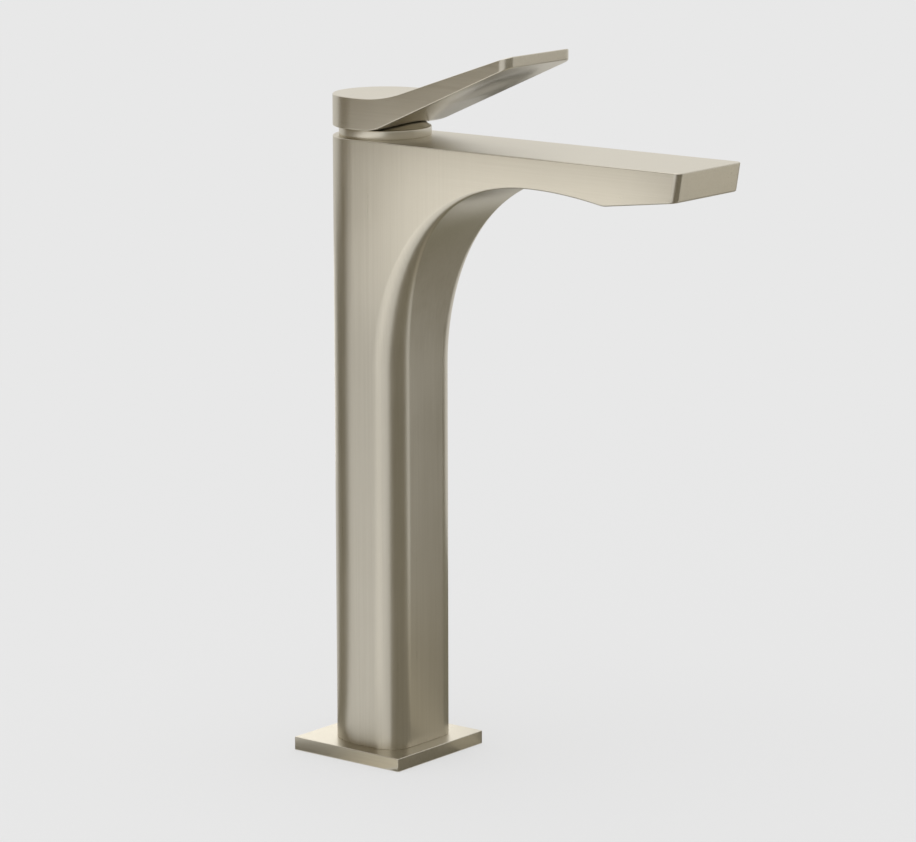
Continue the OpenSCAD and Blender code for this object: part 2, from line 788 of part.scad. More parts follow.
module lever_handle() {
    socket_w = stem_w + 2 * seat_gap;
    color(satin)
    difference() {
        union() {
            difference() {
                union() {
                    translate([0, 0, hub_z]) cylinder(r = body_r, h = hub_h, $fn = 96);
                    intersection() {
                        translate([0, 0, hub_z]) linear_extrude(tip_top_z - hub_z + over) lever_plan();
                        side_prism(lever_side, 2 * body_r + 2 * over);
                    }
                }
                translate([0, 0, pivot_z]) sphere(cavity_r, $fn = 96);
            }
            translate([0, 0, boss_z]) cylinder(r = boss_r, h = hub_top_z - boss_z - 1);
        }
        translate([-socket_w / 2, -socket_w / 2, boss_z - over])
            cube([socket_w, socket_w, socket_top_z - boss_z + over]);
        translate([0, 0, grub_z]) rotate([-90, 0, 0]) cylinder(r = grub_r + seat_gap, h = body_r + over);
        translate([0, body_r - plug_l, grub_z]) rotate([-90, 0, 0])
            cylinder(r = plug_r + seat_gap, h = plug_l + over);
    }
}

module grub_screw() {
    color(steel)
    translate([0, stem_w / 2 + 2 * seat_gap, grub_z]) rotate([-90, 0, 0])
        difference() {
            cylinder(r = grub_r, h = grub_l);
            translate([0, 0, grub_l - 2]) cylinder(r = 1.15, h = 3, $fn = 6);
        }
}

module screw_plug() {
    color(satin)
    intersection() {
        translate([0, body_r - plug_l + seat_gap, grub_z]) rotate([-90, 0, 0]) cylinder(r = plug_r, h = plug_l);
        translate([0, 0, hub_z]) cylinder(r = body_r, h = hub_h, $fn = 96);
    }
}

// Outlet: a seal, a straightener and the slotted insert in the slanted face
module outlet_seal() {
    color(rubber)
    at_outlet()
        translate([0, 0, insert_t + 0.1])
            linear_extrude(outlet_seal_t)
                difference() {
                    round_rect(insert_l - 1, insert_w - 1, insert_corner - 0.5);
                    round_rect(slot_l + 3, slot_w + 7, 1);
                }
}

module outlet_insert() {
    fit = 2 * seat_gap;
    color(satin)
    at_outlet()
        difference() {
            linear_extrude(insert_t) round_rect(insert_l - fit, insert_w - fit, insert_corner - seat_gap);
            translate([0, 0, -over]) linear_extrude(insert_t + 2 * over) round_rect(slot_l, slot_w, 1);
            translate([0, 0, insert_t - straightener_t])
                linear_extrude(straightener_t + over) round_rect(slot_l + 2, slot_w + 3, 1);
        }
}

module flow_straightener() {
    fit = 2 * seat_gap;
    pitch = slot_l / straightener_bars;
    color(plastic)
    at_outlet()
        translate([0, 0, insert_t - straightener_t])
            linear_extrude(straightener_t)
                difference() {
                    round_rect(slot_l + 2 - fit, slot_w + 3 - fit, 1);
                    for (i = [0:straightener_bars - 1])
                        translate([(i - (straightener_bars - 1) / 2) * pitch, 0])
                            square([pitch - 1.2, slot_w], center = true);
                }
}

// Fixing under the deck
pad_z = -deck_t - pad_t;
clamp_z = pad_z - clamp_t;

module mounting_stud() {
    color(steel)
    translate([0, stud_y, -stud_drop]) cylinder(r = stud_r, h = stud_drop + block_z + stud_hold - seat_gap);
}

module clamp_outline(r) {
    hose_r = 8.6;
    hose_x = 6;
    difference() {
        circle(r);
        translate([0, stud_y]) circle(stud_r + free_gap);
        for (x = [-hose_x, hose_x]) translate([x, -way_y]) circle(hose_r);
        translate([-hose_x, -way_y - hose_r]) square([2 * hose_x, 2 * hose_r]);
        translate([-hose_x - hose_r, -way_y - r]) square([2 * (hose_x + hose_r), r]);
    }
}

module clamp_pad() {
    color(rubber) translate([0, 0, pad_z]) linear_extrude(pad_t) clamp_outline(clamp_r + 1);
}

module clamp_plate() {
    color(steel) translate([0, 0, clamp_z]) linear_extrude(clamp_t) clamp_outline(clamp_r);
}

module mounting_nut() {
    color(brass)
    translate([0, stud_y, clamp_z - mount_nut_h])
        difference() {
            cylinder(r = mount_nut_af / sqrt(3), h = mount_nut_h, $fn = 6);
            translate([0, 0, -over]) cylinder(r = stud_r + seat_gap, h = mount_nut_h + 2 * over);
        }
}

base_plate();
base_seal();
body();
body_seal();
inlet_block();
supply_tube_cold();
supply_tube_hot();
tube_seals();
port_seals();
cartridge_base();
cartridge_housing();
housing_seal();
fixed_disc();
moving_disc();
disc_carrier();
rotor();
pivot_pin();
limit_ring();
cartridge_nut();
collar_ring();
lever_stem();
lever_handle();
grub_screw();
screw_plug();
outlet_seal();
flow_straightener();
outlet_insert();
mounting_stud();
clamp_pad();
clamp_plate();
mounting_nut();
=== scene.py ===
# %% [markdown]
# # A waterfall basin faucet, dressed for its picture
# The engineering model gives every piece of the faucet its place. This script loads it as a fixed
# frame, lays finer skins over the castings that the eye sees, gives each piece a finish made of
# shader nodes, and sets a plain studio round it. All lengths below are millimetres until a mesh
# is made, and then metres.

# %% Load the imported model
import json
import math

import bmesh
import bpy
from mathutils import Matrix, Vector


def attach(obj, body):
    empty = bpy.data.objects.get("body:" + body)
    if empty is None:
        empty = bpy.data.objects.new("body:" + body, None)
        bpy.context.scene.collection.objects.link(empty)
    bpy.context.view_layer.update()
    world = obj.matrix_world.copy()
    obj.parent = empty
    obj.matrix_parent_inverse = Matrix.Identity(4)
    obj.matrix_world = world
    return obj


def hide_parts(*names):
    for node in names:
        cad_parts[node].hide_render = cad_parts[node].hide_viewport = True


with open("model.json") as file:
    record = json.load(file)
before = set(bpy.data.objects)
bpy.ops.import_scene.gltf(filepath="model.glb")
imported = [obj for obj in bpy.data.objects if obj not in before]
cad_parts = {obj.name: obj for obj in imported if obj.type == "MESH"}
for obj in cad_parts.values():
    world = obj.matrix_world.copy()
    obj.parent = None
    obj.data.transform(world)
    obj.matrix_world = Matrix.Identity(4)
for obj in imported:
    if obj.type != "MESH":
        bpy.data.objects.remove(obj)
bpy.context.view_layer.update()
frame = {"nodes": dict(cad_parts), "record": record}
MM = 0.001
print("pieces in the frame:", len(frame["nodes"]))

# %% [markdown]
# ## The camera
# The photograph was taken from the front left, a little above the spout, through a long lens. Its
# place was solved beforehand from the square plate, the level spout and the round hub. The camera
# here stands at that same place, so every face is seen at the angle of the photograph. A lens
# shift would straighten the uprights fully, but it would push the faucet out of other views.

# %% Camera
EYE = Vector((-1.43522, -1.17561, 0.52327))
YAW = 0.901452
PITCH = 0.199026
ROLL = -0.002145
FOCAL_PX = 4275.58
PHOTO_W = 916
SENSOR = 36.0


def camera_turn(yaw, pitch, roll):
    ahead = Vector((math.cos(pitch) * math.sin(yaw), math.cos(pitch) * math.cos(yaw),
                    -math.sin(pitch)))
    right = Vector((math.cos(yaw), -math.sin(yaw), 0))
    turn = Matrix((right, right.cross(ahead), -ahead)).transposed()
    return turn @ Matrix.Rotation(roll, 3, "Z")


lens = bpy.data.cameras.new("photo_camera")
lens.sensor_width = SENSOR
lens.lens = FOCAL_PX * SENSOR / PHOTO_W
lens.clip_end = 60
camera = bpy.data.objects.new("photo_camera", lens)
camera.matrix_world = Matrix.Translation(EYE) @ camera_turn(YAW, PITCH, ROLL).to_4x4()
bpy.context.scene.collection.objects.link(camera)
bpy.context.scene.camera = camera
print("focal length in mm:", round(lens.lens, 2))

# %% [markdown]
# ## How the skins are made
# A casting such as this one is flat faces, one swept edge and small rounded borders. A bevel
# modifier can't round a border next to a fillet that fades to nothing, so the skins are built
# from strips of points, patch by patch. A patch shares its border points with the next one:
# points that fall together become one vertex, and the skin closes by itself.

# %% A skin of shared points
class Skin:
    """Faces given as lists of points in millimetres. Points that fall together are one vertex."""

    def __init__(self):
        self.spots = {}
        self.faces = []

    def face(self, points):
        ids = []
        for point in points:
            key = tuple(round(c, 3) + 0.0 for c in point)
            spot = self.spots.setdefault(key, len(self.spots))
            if spot not in ids:
                ids.append(spot)
        if len(ids) > 2:
            self.faces.append(ids)

    def strip(self, one, other):
        for i in range(len(one) - 1):
            self.face([one[i], one[i + 1], other[i + 1], other[i]])

    def piece(self, name):
        mesh = bpy.data.meshes.new(name)
        mesh.from_pydata([[c * MM for c in spot] for spot in self.spots], [], self.faces)
        bm = bmesh.new()
        bm.from_mesh(mesh)
        bmesh.ops.recalc_face_normals(bm, faces=bm.faces)
        open_edges = sum(len(e.link_faces) != 2 for e in bm.edges)
        volume = bm.calc_volume() / MM ** 3
        bm.to_mesh(mesh)
        bm.free()
        piece = bpy.data.objects.new(name, mesh)
        bpy.context.scene.collection.objects.link(piece)
        print(name, "faces", len(mesh.polygons), "open edges", open_edges, "mm3", round(volume))
        return piece


# %% [markdown]
# ## Rounded borders
# A real edge is never a knife's edge: a thin round takes the light and draws the bright line that
# tells the eye where a face ends. Each border here is a row of edge spots. A spot knows its point
# on the sharp edge, the way into the one face, the way along the other, and its radius. One
# formula then gives the quarter round at any angle, and the same rows serve for the big fading
# edge of the arch and for the hair-thin ones.

# %% Edge spots
ROUND_STEPS = 4


def edge_spot(spot, angle):
    point, inward, along, radius = spot
    return (Vector(point) + Vector(inward) * radius * (1 - math.cos(angle))
            + Vector(along) * radius * (1 - math.sin(angle)))


def edge_rows(spots, steps):
    """Rows of points from the wall (first) to the face (last)."""
    return [[edge_spot(s, math.pi / 2 * k / steps) for s in spots] for k in range(steps + 1)]


def turn_steps(start, end, steps):
    return [start + (end - start) * i / steps for i in range(steps + 1)]


def mirrored(points):
    return [Vector((-p[0], p[1], p[2])) for p in points]


# %% [markdown]
# ## The body's lines
# On the real faucet the body is one casting. Its column has a round back, flat sides, a flat
# front and two large front corners. Above 174 mm the front sweeps forward through an arch into
# the flat spout, and the corner rounds fade to a fine edge on the way. The underside is one
# cubic curve, then a shallow belly, a knee and the slanted outlet face.

# %% Sizes of the body
BODY_R = 23.0
TOP_Z = 277.0
PLATE_T = 6.0
FRONT_Y = -22.3
CORNER_R = 12.0
FADED_R = 0.8
FADE_END = 0.95
FOOT_ROUND = 0.25
TOP_ROUND = 0.5
ARCH = [Vector(p) for p in ((-22.3, 174.5), (-22.3, 213.5), (-36.0, 263.75), (-96.0, 263.75))]
BELLY = [Vector(p) for p in ((-96.0, 263.75), (-114.0, 263.75), (-134.5, 259.9))]
TIP_TOP = Vector((-173.6, 277.0))
TIP_FOOT = Vector((-171.5, 264.5))
TIP_CORNER_R = 3.0
BACK_STEPS = 96
ARCH_STEPS = 64
BELLY_STEPS = 14
CORNER_STEPS = 16
TIP_STEPS = 8


def cubic(p, t):
    return (p[0] * (1 - t) ** 3 + p[1] * 3 * (1 - t) ** 2 * t + p[2] * 3 * (1 - t) * t * t
            + p[3] * t ** 3)


def cubic_way(p, t):
    way = (p[1] - p[0]) * (1 - t) ** 2 + (p[2] - p[1]) * 2 * (1 - t) * t + (p[3] - p[2]) * t * t
    return way.normalized()


def quad(p, t):
    return p[0] * (1 - t) ** 2 + p[1] * 2 * (1 - t) * t + p[2] * t * t


def quad_way(p, t):
    return ((p[1] - p[0]) * (1 - t) + (p[2] - p[1]) * t).normalized()


def smooth(x):
    return x * x * (3 - 2 * x)


# %% Edge spots along the underside
def side_spot(point, way, radius):
    """Edge spot of the right side, where the way along the underside is (y, z)."""
    return ((BODY_R, point[0], point[1]), (-1, 0, 0), (0, way[1], -way[0]), radius)


up = Vector((0, 1))
under_edge = [side_spot((FRONT_Y, z), up, CORNER_R)
              for z in turn_steps(PLATE_T + FOOT_ROUND, ARCH[0][1] - 6, 6)]
for t in turn_steps(0, 1, ARCH_STEPS):
    fade = smooth(min(1, t / FADE_END))
    radius = CORNER_R + (FADED_R - CORNER_R) * fade
    under_edge.append(side_spot(cubic(ARCH, t), cubic_way(ARCH, t), radius))

BELLY_SHARE = 0.96      # the belly's last part gives way to the bow round the knee
for t in turn_steps(0, BELLY_SHARE, BELLY_STEPS)[1:]:
    under_edge.append(side_spot(quad(BELLY, t), quad_way(BELLY, t), FADED_R))

knee = BELLY[2]
face_way = (TIP_FOOT - knee).normalized()
knee_reach = quad(BELLY, BELLY_SHARE) - knee
knee_bow = [knee + knee_reach, knee, knee + face_way * knee_reach.length]
for t in turn_steps(0, 1, 6)[1:]:
    under_edge.append(side_spot(quad(knee_bow, t), quad_way(knee_bow, t), FADED_R))
print("sections along the underside:", len(under_edge))

# %% [markdown]
# ## The tip and the outlet face
# The tip leans: its lower lip stands 2 mm behind the upper one, so that the sheet of water drops
# clear of the metal. Its two upright corners are rounded with 3 mm, and the lean is a plain
# shear of the spout's plan.

# %% Edge spots round the tip
face_slope = -face_way[1] / face_way[0]
lean = Vector((0, TIP_TOP[0] - TIP_FOOT[0], TIP_TOP[1] - TIP_FOOT[1])).normalized()


def tip_spots(tip_y, height_at, slope, along, radius, corner_r=TIP_CORNER_R, half=BODY_R):
    """Right half of a tip's border, from the side round the upright corner to its middle."""
    spots = []
    for turn in turn_steps(0, math.pi / 2, TIP_STEPS):
        x = half - corner_r + corner_r * math.cos(turn)
        y = tip_y + corner_r - corner_r * math.sin(turn)
        inward = (-math.cos(turn), math.sin(turn), -math.sin(turn) * slope)
        spots.append(((x, y, height_at(y)), inward, along, radius))
    return spots


outlet_edge = tip_spots(TIP_FOOT[0], lambda y: knee[1] + (knee[0] - y) * face_slope,
                        face_slope, lean, FADED_R)
upper_tip = tip_spots(TIP_TOP[0], lambda y: TOP_Z, 0, -lean, TOP_ROUND)


def straight_side(y, radius=TOP_ROUND):
    return ((BODY_R, y, TOP_Z), (-1, 0, 0), (0, 0, -1), radius)


upper_side = [straight_side(y) for y in turn_steps(0, TIP_TOP[0] + TIP_CORNER_R + 4, 10)]
upper_back = [((BODY_R * math.cos(a), BODY_R * math.sin(a), TOP_Z), (-math.cos(a), -math.sin(a), 0),
               (0, 0, -1), TOP_ROUND) for a in turn_steps(0, math.pi, BACK_STEPS)]

# %% [markdown]
# ## Closing the body
# The patches are laid one after the other: the foot, the round back, the faded edge with the
# underside, the tip, the rounded upper border and the flat top. The two flat sides are one face
# each: a flat face needs no points inside it, and it then shades perfectly even.

# %% Skin of the body
body_skin = Skin()
under_rows = edge_rows(under_edge, CORNER_STEPS)
for one, other in zip(under_rows, under_rows[1:]):
    body_skin.strip(one, other)
    body_skin.strip(mirrored(one), mirrored(other))
body_skin.strip(under_rows[-1], mirrored(under_rows[-1]))

outlet_rows = edge_rows(outlet_edge, CORNER_STEPS)
for k in range(CORNER_STEPS):
    for flip in (list, mirrored):
        body_skin.strip(flip([under_rows[k][-1]] + outlet_rows[k]),
                        flip([under_rows[k + 1][-1]] + outlet_rows[k + 1]))
    body_skin.strip([outlet_rows[k][-1], mirrored(outlet_rows[k])[-1]],
                    [outlet_rows[k + 1][-1], mirrored(outlet_rows[k + 1])[-1]])
face_half = [under_rows[-1][-1]] + outlet_rows[-1]
body_skin.face(face_half + mirrored(face_half)[::-1])

top_rows = edge_rows(upper_back, ROUND_STEPS)
side_rows = edge_rows(upper_side, ROUND_STEPS)
tip_rows = edge_rows(upper_tip, ROUND_STEPS)
for k in range(ROUND_STEPS):
    body_skin.strip(top_rows[k], top_rows[k + 1])
    for flip in (list, mirrored):
        body_skin.strip(flip(side_rows[k] + tip_rows[k]), flip(side_rows[k + 1] + tip_rows[k + 1]))
    body_skin.strip([tip_rows[k][-1], mirrored(tip_rows[k])[-1]],
                    [tip_rows[k + 1][-1], mirrored(tip_rows[k + 1])[-1]])
top_half = side_rows[-1] + tip_rows[-1]
body_skin.face(top_half + mirrored(top_half)[::-1])
body_skin.face(top_rows[-1])

for flip in (list, mirrored):
    body_skin.strip(flip(outlet_rows[0]), flip(tip_rows[0]))
body_skin.face([outlet_rows[0][-1], tip_rows[0][-1],
                mirrored(tip_rows[0])[-1], mirrored(outlet_rows[0])[-1]])


def foot_spot(x, y, nx, ny):
    return ((x, y, PLATE_T), (-nx, -ny, 0), (0, 0, 1), FOOT_ROUND)


foot = [foot_spot(BODY_R * math.cos(a), BODY_R * math.sin(a), math.cos(a), math.sin(a))
        for a in turn_steps(0, math.pi, BACK_STEPS)]
corner_mid = (BODY_R - CORNER_R, FRONT_Y + CORNER_R)
foot_corner = [foot_spot(corner_mid[0] + CORNER_R * math.cos(a),
                         corner_mid[1] - CORNER_R * math.sin(a), math.cos(a), -math.sin(a))
               for a in turn_steps(0, math.pi / 2, CORNER_STEPS)]
foot_corner_left = [((-p[0], p[1], p[2]), (-w[0], w[1], w[2]), v, r)
                    for p, w, v, r in foot_corner]
foot_loop = foot + foot_corner_left + foot_corner[::-1] + [foot[0]]
foot_rows = edge_rows(foot_loop, ROUND_STEPS)
for one, other in zip(foot_rows, foot_rows[1:]):
    body_skin.strip(one, other)
body_skin.face(foot_rows[-1][:-1])

back_heights = turn_steps(PLATE_T + FOOT_ROUND, TOP_Z - TOP_ROUND, 12)
back_rows = [[Vector((p[0], p[1], z)) for p in foot_rows[0][:BACK_STEPS + 1]] for z in back_heights]
for one, other in zip(back_rows, back_rows[1:]):
    body_skin.strip(one, other)
side_loop = (under_rows[0] + [outlet_rows[0][0], tip_rows[0][0]] + side_rows[0][::-1]
             + [row[0] for row in back_rows[::-1]])
for flip in (list, mirrored):
    body_skin.face(flip(side_loop))
body = body_skin.piece("body_skin")

# %% [markdown]
# ## Cutting the hollows
# The casting is hollow: a bore in the column, a chamber for the cartridge, a threaded mouth under
# the collar and a pocket for the outlet insert. Each is a plain tool body, taken away with an
# exact boolean. The tools only meet flat faces, so the rounded borders stay as they are.

# %% Tools for hollows
def lathe(name, profile, middle=(0, 0, 0), steps=96):
    """Closed body turned about an upright axis, from (radius, height) points, foot first."""
    skin = Skin()
    rows = [[Vector((middle[0] + r * math.cos(a), middle[1] + r * math.sin(a), middle[2] + z))
             for a in turn_steps(0, 2 * math.pi, steps)] for r, z in profile]
    for one, other in zip(rows, rows[1:]):
        skin.strip(one, other)
    skin.face(rows[0][:-1])
    skin.face(rows[-1][:-1])
    return skin.piece(name)


def slab(name, outline, low, high, place=None):
    """Closed body from a flat outline, pulled from low to high, then moved by place."""
    skin = Skin()
    place = place or Matrix.Identity(4)
    rows = [[place @ Vector((x, y, z)) for x, y in outline + outline[:1]] for z in (low, high)]
    skin.strip(rows[0], rows[1])
    skin.face(rows[0][:-1])
    skin.face(rows[1][:-1])
    return skin.piece(name)


def round_outline(length, width, radius, steps=8):
    spots = []
    for x, y, start in ((1, 1, 0), (-1, 1, 1), (-1, -1, 2), (1, -1, 3)):
        for a in turn_steps(start * math.pi / 2, (start + 1) * math.pi / 2, steps):
            spots.append((x * (length / 2 - radius) + radius * math.cos(a),
                          y * (width / 2 - radius) + radius * math.sin(a)))
    return spots


def settle(piece):
    """Turns a piece's modifiers into its mesh."""
    graph = bpy.context.evaluated_depsgraph_get()
    done = bpy.data.meshes.new_from_object(piece.evaluated_get(graph))
    piece.modifiers.clear()
    piece.data = done


def shape(piece, tool, way="DIFFERENCE"):
    step = piece.modifiers.new(way, "BOOLEAN")
    step.operation = way
    step.solver = "EXACT"
    step.object = tool
    settle(piece)
    bpy.data.objects.remove(tool)


# %% Hollows of the body
COLUMN_BORE_R, CHAMBER_R, MOUTH_R = 19.0, 18.6, 19.5
WEB_Z, FLOOR_Z, LEDGE_Z = 216.0, 229.0, 262.0
shape(body, lathe("bore", [(COLUMN_BORE_R, PLATE_T - 1), (COLUMN_BORE_R, WEB_Z)]))
shape(body, lathe("mouth", [(CHAMBER_R, FLOOR_Z), (CHAMBER_R, LEDGE_Z),
                            (MOUTH_R, LEDGE_Z), (MOUTH_R, TOP_Z + 1)]))

INSERT_MID = 16.5                   # from the knee to the middle of the outlet insert
POCKET, POCKET_DEPTH = (36.0, 24.0, 3.0), 4.4           # length, width, corner radius
WATER_WAY, WATER_WAY_FROM, WATER_WAY_TO = (31.0, 7.6, 1.0), 4.0, 8.0
outlet_place = (Matrix.Translation((0, knee[0], knee[1]))
                @ Matrix.Rotation(-math.atan(face_slope), 4, "X")
                @ Matrix.Translation((0, -INSERT_MID, 0)))
shape(body, slab("pocket", round_outline(*POCKET), -1.0, POCKET_DEPTH, outlet_place))
water_way = slab("water_way", round_outline(*WATER_WAY), WATER_WAY_FROM, WATER_WAY_TO, outlet_place)
shape(body, water_way)
print("body faces after cutting:", len(body.data.polygons))

# %% [markdown]
# ## Even shading
# With small rounds beside large flats, plain smooth shading bends the light over the flats. The
# weighted-normal step gives each corner the direction of its largest face, so the flats stay
# flat and only the rounds turn. Edges that really are sharp, inside a bore, are marked first.

# %% Shading of a finished skin
SHARP = math.radians(32)


def even_shading(piece):
    piece.data.shade_smooth()
    piece.data.set_sharp_from_angle(angle=SHARP)
    step = piece.modifiers.new("even", "WEIGHTED_NORMAL")
    step.weight = 100
    step.keep_sharp = True
    settle(piece)


def finished(piece, body_name, node):
    even_shading(piece)
    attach(piece, body_name)
    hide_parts(node)
    return piece


finished(body, "root", "body")

# %% [markdown]
# ## The lever
# The hub is a level disc with a hollow bend that rises into a thin blade. Seen from the side it
# is all straight lines but for that bend, so it is built from two borders, an upper and a lower
# one, with upright walls between them.

# %% Sizes of the lever
HUB_Z, HUB_TOP = 281.2, 295.2
LEVER_TIP_Y = -85.0
TOP_SLOPE = math.radians(18.84)
BEND_R, BEND_START = 70.0, -4.79
UNDER_BREAK, UNDER_SOFT = -11.0, 6.0
TIP_Z, TIP_UNDER_Z = 318.6, 313.8
LEVER_CORNER_R = 5.0
LEVER_ROUND = 0.5
UNDER_SLOPE = (TIP_UNDER_Z - HUB_Z) / (UNDER_BREAK - LEVER_TIP_Y)
bend_end = BEND_START - BEND_R * math.sin(TOP_SLOPE)


def lever_top(y):
    if y >= BEND_START:
        return HUB_TOP
    if y >= bend_end:
        return HUB_TOP + BEND_R - math.sqrt(BEND_R ** 2 - (BEND_START - y) ** 2)
    return TIP_Z - (y - LEVER_TIP_Y) * math.tan(TOP_SLOPE)


def lever_under(y):
    past = UNDER_BREAK - y
    if abs(past) < UNDER_SOFT:
        return HUB_Z + UNDER_SLOPE * (past + UNDER_SOFT) ** 2 / (4 * UNDER_SOFT)
    return HUB_Z + max(0, past) * UNDER_SLOPE


# %% Skin of the lever
def wall_spots(stations, height_at, along):
    return [((BODY_R, y, height_at(y)), (-1, 0, 0), along, LEVER_ROUND) for y in stations]


def back_spots(z, along):
    return [((BODY_R * math.cos(a), BODY_R * math.sin(a), z), (-math.cos(a), -math.sin(a), 0),
             along, LEVER_ROUND) for a in turn_steps(0, math.pi, BACK_STEPS)]


DOWN, UP = (0, 0, -1), (0, 0, 1)
top_stations = [0, BEND_START / 2] + turn_steps(BEND_START, bend_end, 28) + [-45.0, -65.0]
under_start, under_end = UNDER_BREAK + UNDER_SOFT, UNDER_BREAK - UNDER_SOFT
low_stations = [0] + turn_steps(under_start, under_end, 20) + [-30.0, -50.0, -70.0]
bent = {"top": (BEND_START, bend_end), "low": (under_start, under_end)}
lever_skin = Skin()
borders = {
    "top": (wall_spots(top_stations, lever_top, DOWN), back_spots(HUB_TOP, DOWN),
            tip_spots(LEVER_TIP_Y, lever_top, math.tan(TOP_SLOPE), DOWN, LEVER_ROUND,
                      LEVER_CORNER_R)),
    "low": (wall_spots(low_stations, lever_under, UP), back_spots(HUB_Z, UP),
            tip_spots(LEVER_TIP_Y, lever_under, UNDER_SLOPE, UP, LEVER_ROUND, LEVER_CORNER_R)),
}
rows = {}
for name, (side, back, tip) in borders.items():
    rows[name] = [edge_rows(spots, ROUND_STEPS) for spots in (side, back, tip)]
    side_k, back_k, tip_k = rows[name]
    for k in range(ROUND_STEPS):
        lever_skin.strip(back_k[k], back_k[k + 1])
        for flip in (list, mirrored):
            lever_skin.strip(flip(side_k[k] + tip_k[k]), flip(side_k[k + 1] + tip_k[k + 1]))
        lever_skin.strip([tip_k[k][-1], mirrored(tip_k[k])[-1]],
                         [tip_k[k + 1][-1], mirrored(tip_k[k + 1])[-1]])
    flat = side_k[-1]
    start, end = bent[name]
    bends = [i for i in range(len(flat) - 1) if start > flat[i + 1][1] > end - 0.1]
    first, last = min(bends), max(bends) + 1
    for i in bends:
        lever_skin.strip(flat[i:i + 2], mirrored(flat[i:i + 2]))
    hub_half = flat[:first + 1]
    lever_skin.face(back_k[-1] + mirrored(hub_half)[1:] + hub_half[:0:-1])
    blade_half = flat[last:] + tip_k[-1]
    lever_skin.face(blade_half + mirrored(blade_half)[::-1])

hub_heights = turn_steps(HUB_Z + LEVER_ROUND, HUB_TOP - LEVER_ROUND, 3)
hub_rows = [[Vector((p[0], p[1], z)) for p in rows["top"][1][0]] for z in hub_heights]
for one, other in zip(hub_rows, hub_rows[1:]):
    lever_skin.strip(one, other)
low_side, top_side = rows["low"][0][0], rows["top"][0][0]
low_tip, top_tip = rows["low"][2][0], rows["top"][2][0]
for flip in (list, mirrored):
    lever_skin.strip(flip(low_tip), flip(top_tip))
    lever_skin.face(flip(low_side + [low_tip[0], top_tip[0]] + top_side[::-1]
                         + [row[0] for row in hub_rows[::-1]]))
lever_skin.face([low_tip[-1], top_tip[-1], mirrored(top_tip)[-1], mirrored(low_tip)[-1]])
lever = lever_skin.piece("lever_skin")

# %% [markdown]
# ## Inside the hub
# The hub tilts about a pin below it, so its hollow is part of a ball round that pin. A boss in
# the hollow grips the square stem, and a small screw behind a plug locks it.

# %% Hollow, boss and screw hole of the hub
PIVOT_Z = 262.0
BALL_R = 27.9
BOSS_R, BOSS_Z = 7.0, 272.5
SOCKET_W, SOCKET_TOP = 8.1, 292.9
GRUB_Z, GRUB_HOLE_R, PLUG_HOLE_R = 290.4, 2.05, 2.65
ball = [(BALL_R * math.cos(a), BALL_R * math.sin(a))
        for a in turn_steps(math.radians(30), math.radians(89), 40)]
shape(lever, lathe("ball", ball, (0, 0, PIVOT_Z), 144))
shape(lever, lathe("boss", [(BOSS_R, BOSS_Z), (BOSS_R, HUB_TOP - 1)], steps=48), "UNION")
shape(lever, slab("socket", round_outline(SOCKET_W, SOCKET_W, 0.3, 2), BOSS_Z - 1, SOCKET_TOP))
lie_back = Matrix.Translation((0, 0, GRUB_Z)) @ Matrix.Rotation(-math.pi / 2, 4, "X")
for name, radius, start in (("grub_hole", GRUB_HOLE_R, 2), ("plug_hole", PLUG_HOLE_R, 20)):
    circle = round_outline(2 * radius, 2 * radius, radius)
    shape(lever, slab(name, circle, start, BODY_R + 1, lie_back))

# %% [markdown]
# ## A shallow hollow under the blade
# In the photograph a soft dark patch lies lengthwise under the blade. A flat face can't mirror
# that way, so the underside is hollowed by a little more than a millimetre where the fingers lift
# it. The innermost ring stays wide enough that no needle-thin faces crowd its middle.

# %% Finger hollow
SCOOP_Y, SCOOP_HALF_W, SCOOP_HALF_L, SCOOP_DEPTH = -60.0, 18.0, 23.0, 1.2
scoop_skin = Skin()
scoop_place = (Matrix.Translation((0, SCOOP_Y, lever_under(SCOOP_Y)))
               @ Matrix.Rotation(-math.atan(UNDER_SLOPE), 4, "X"))


def scoop_ring(reach, lift):
    return [scoop_place @ Vector((SCOOP_HALF_W * reach * math.cos(a),
                                  SCOOP_HALF_L * reach * math.sin(a), lift))
            for a in turn_steps(0, 2 * math.pi, 96)]


SCOOP_SINK = 0.004      # keeps the rim just under the flat, so that the cut is clean
scoop_rows = [scoop_ring(1, -2)] + [scoop_ring(r, SCOOP_DEPTH * (1 - r * r) ** 2 - SCOOP_SINK)
                                    for r in turn_steps(1, 0.08, 32)]
for one, other in zip(scoop_rows, scoop_rows[1:]):
    scoop_skin.strip(one, other)
scoop_skin.face(scoop_rows[0][:-1])
scoop_skin.face(scoop_rows[-1][:-1])
shape(lever, scoop_skin.piece("scoop"))
finished(lever, "lever", "lever_handle")
print("lever faces:", len(lever.data.polygons))

# %% [markdown]
# ## The collar
# The narrow ring under the hub bulges a little and keeps its width nearly up to the hub. Above
# its border it is a dome about the pivot, so the tilting hub clears it.

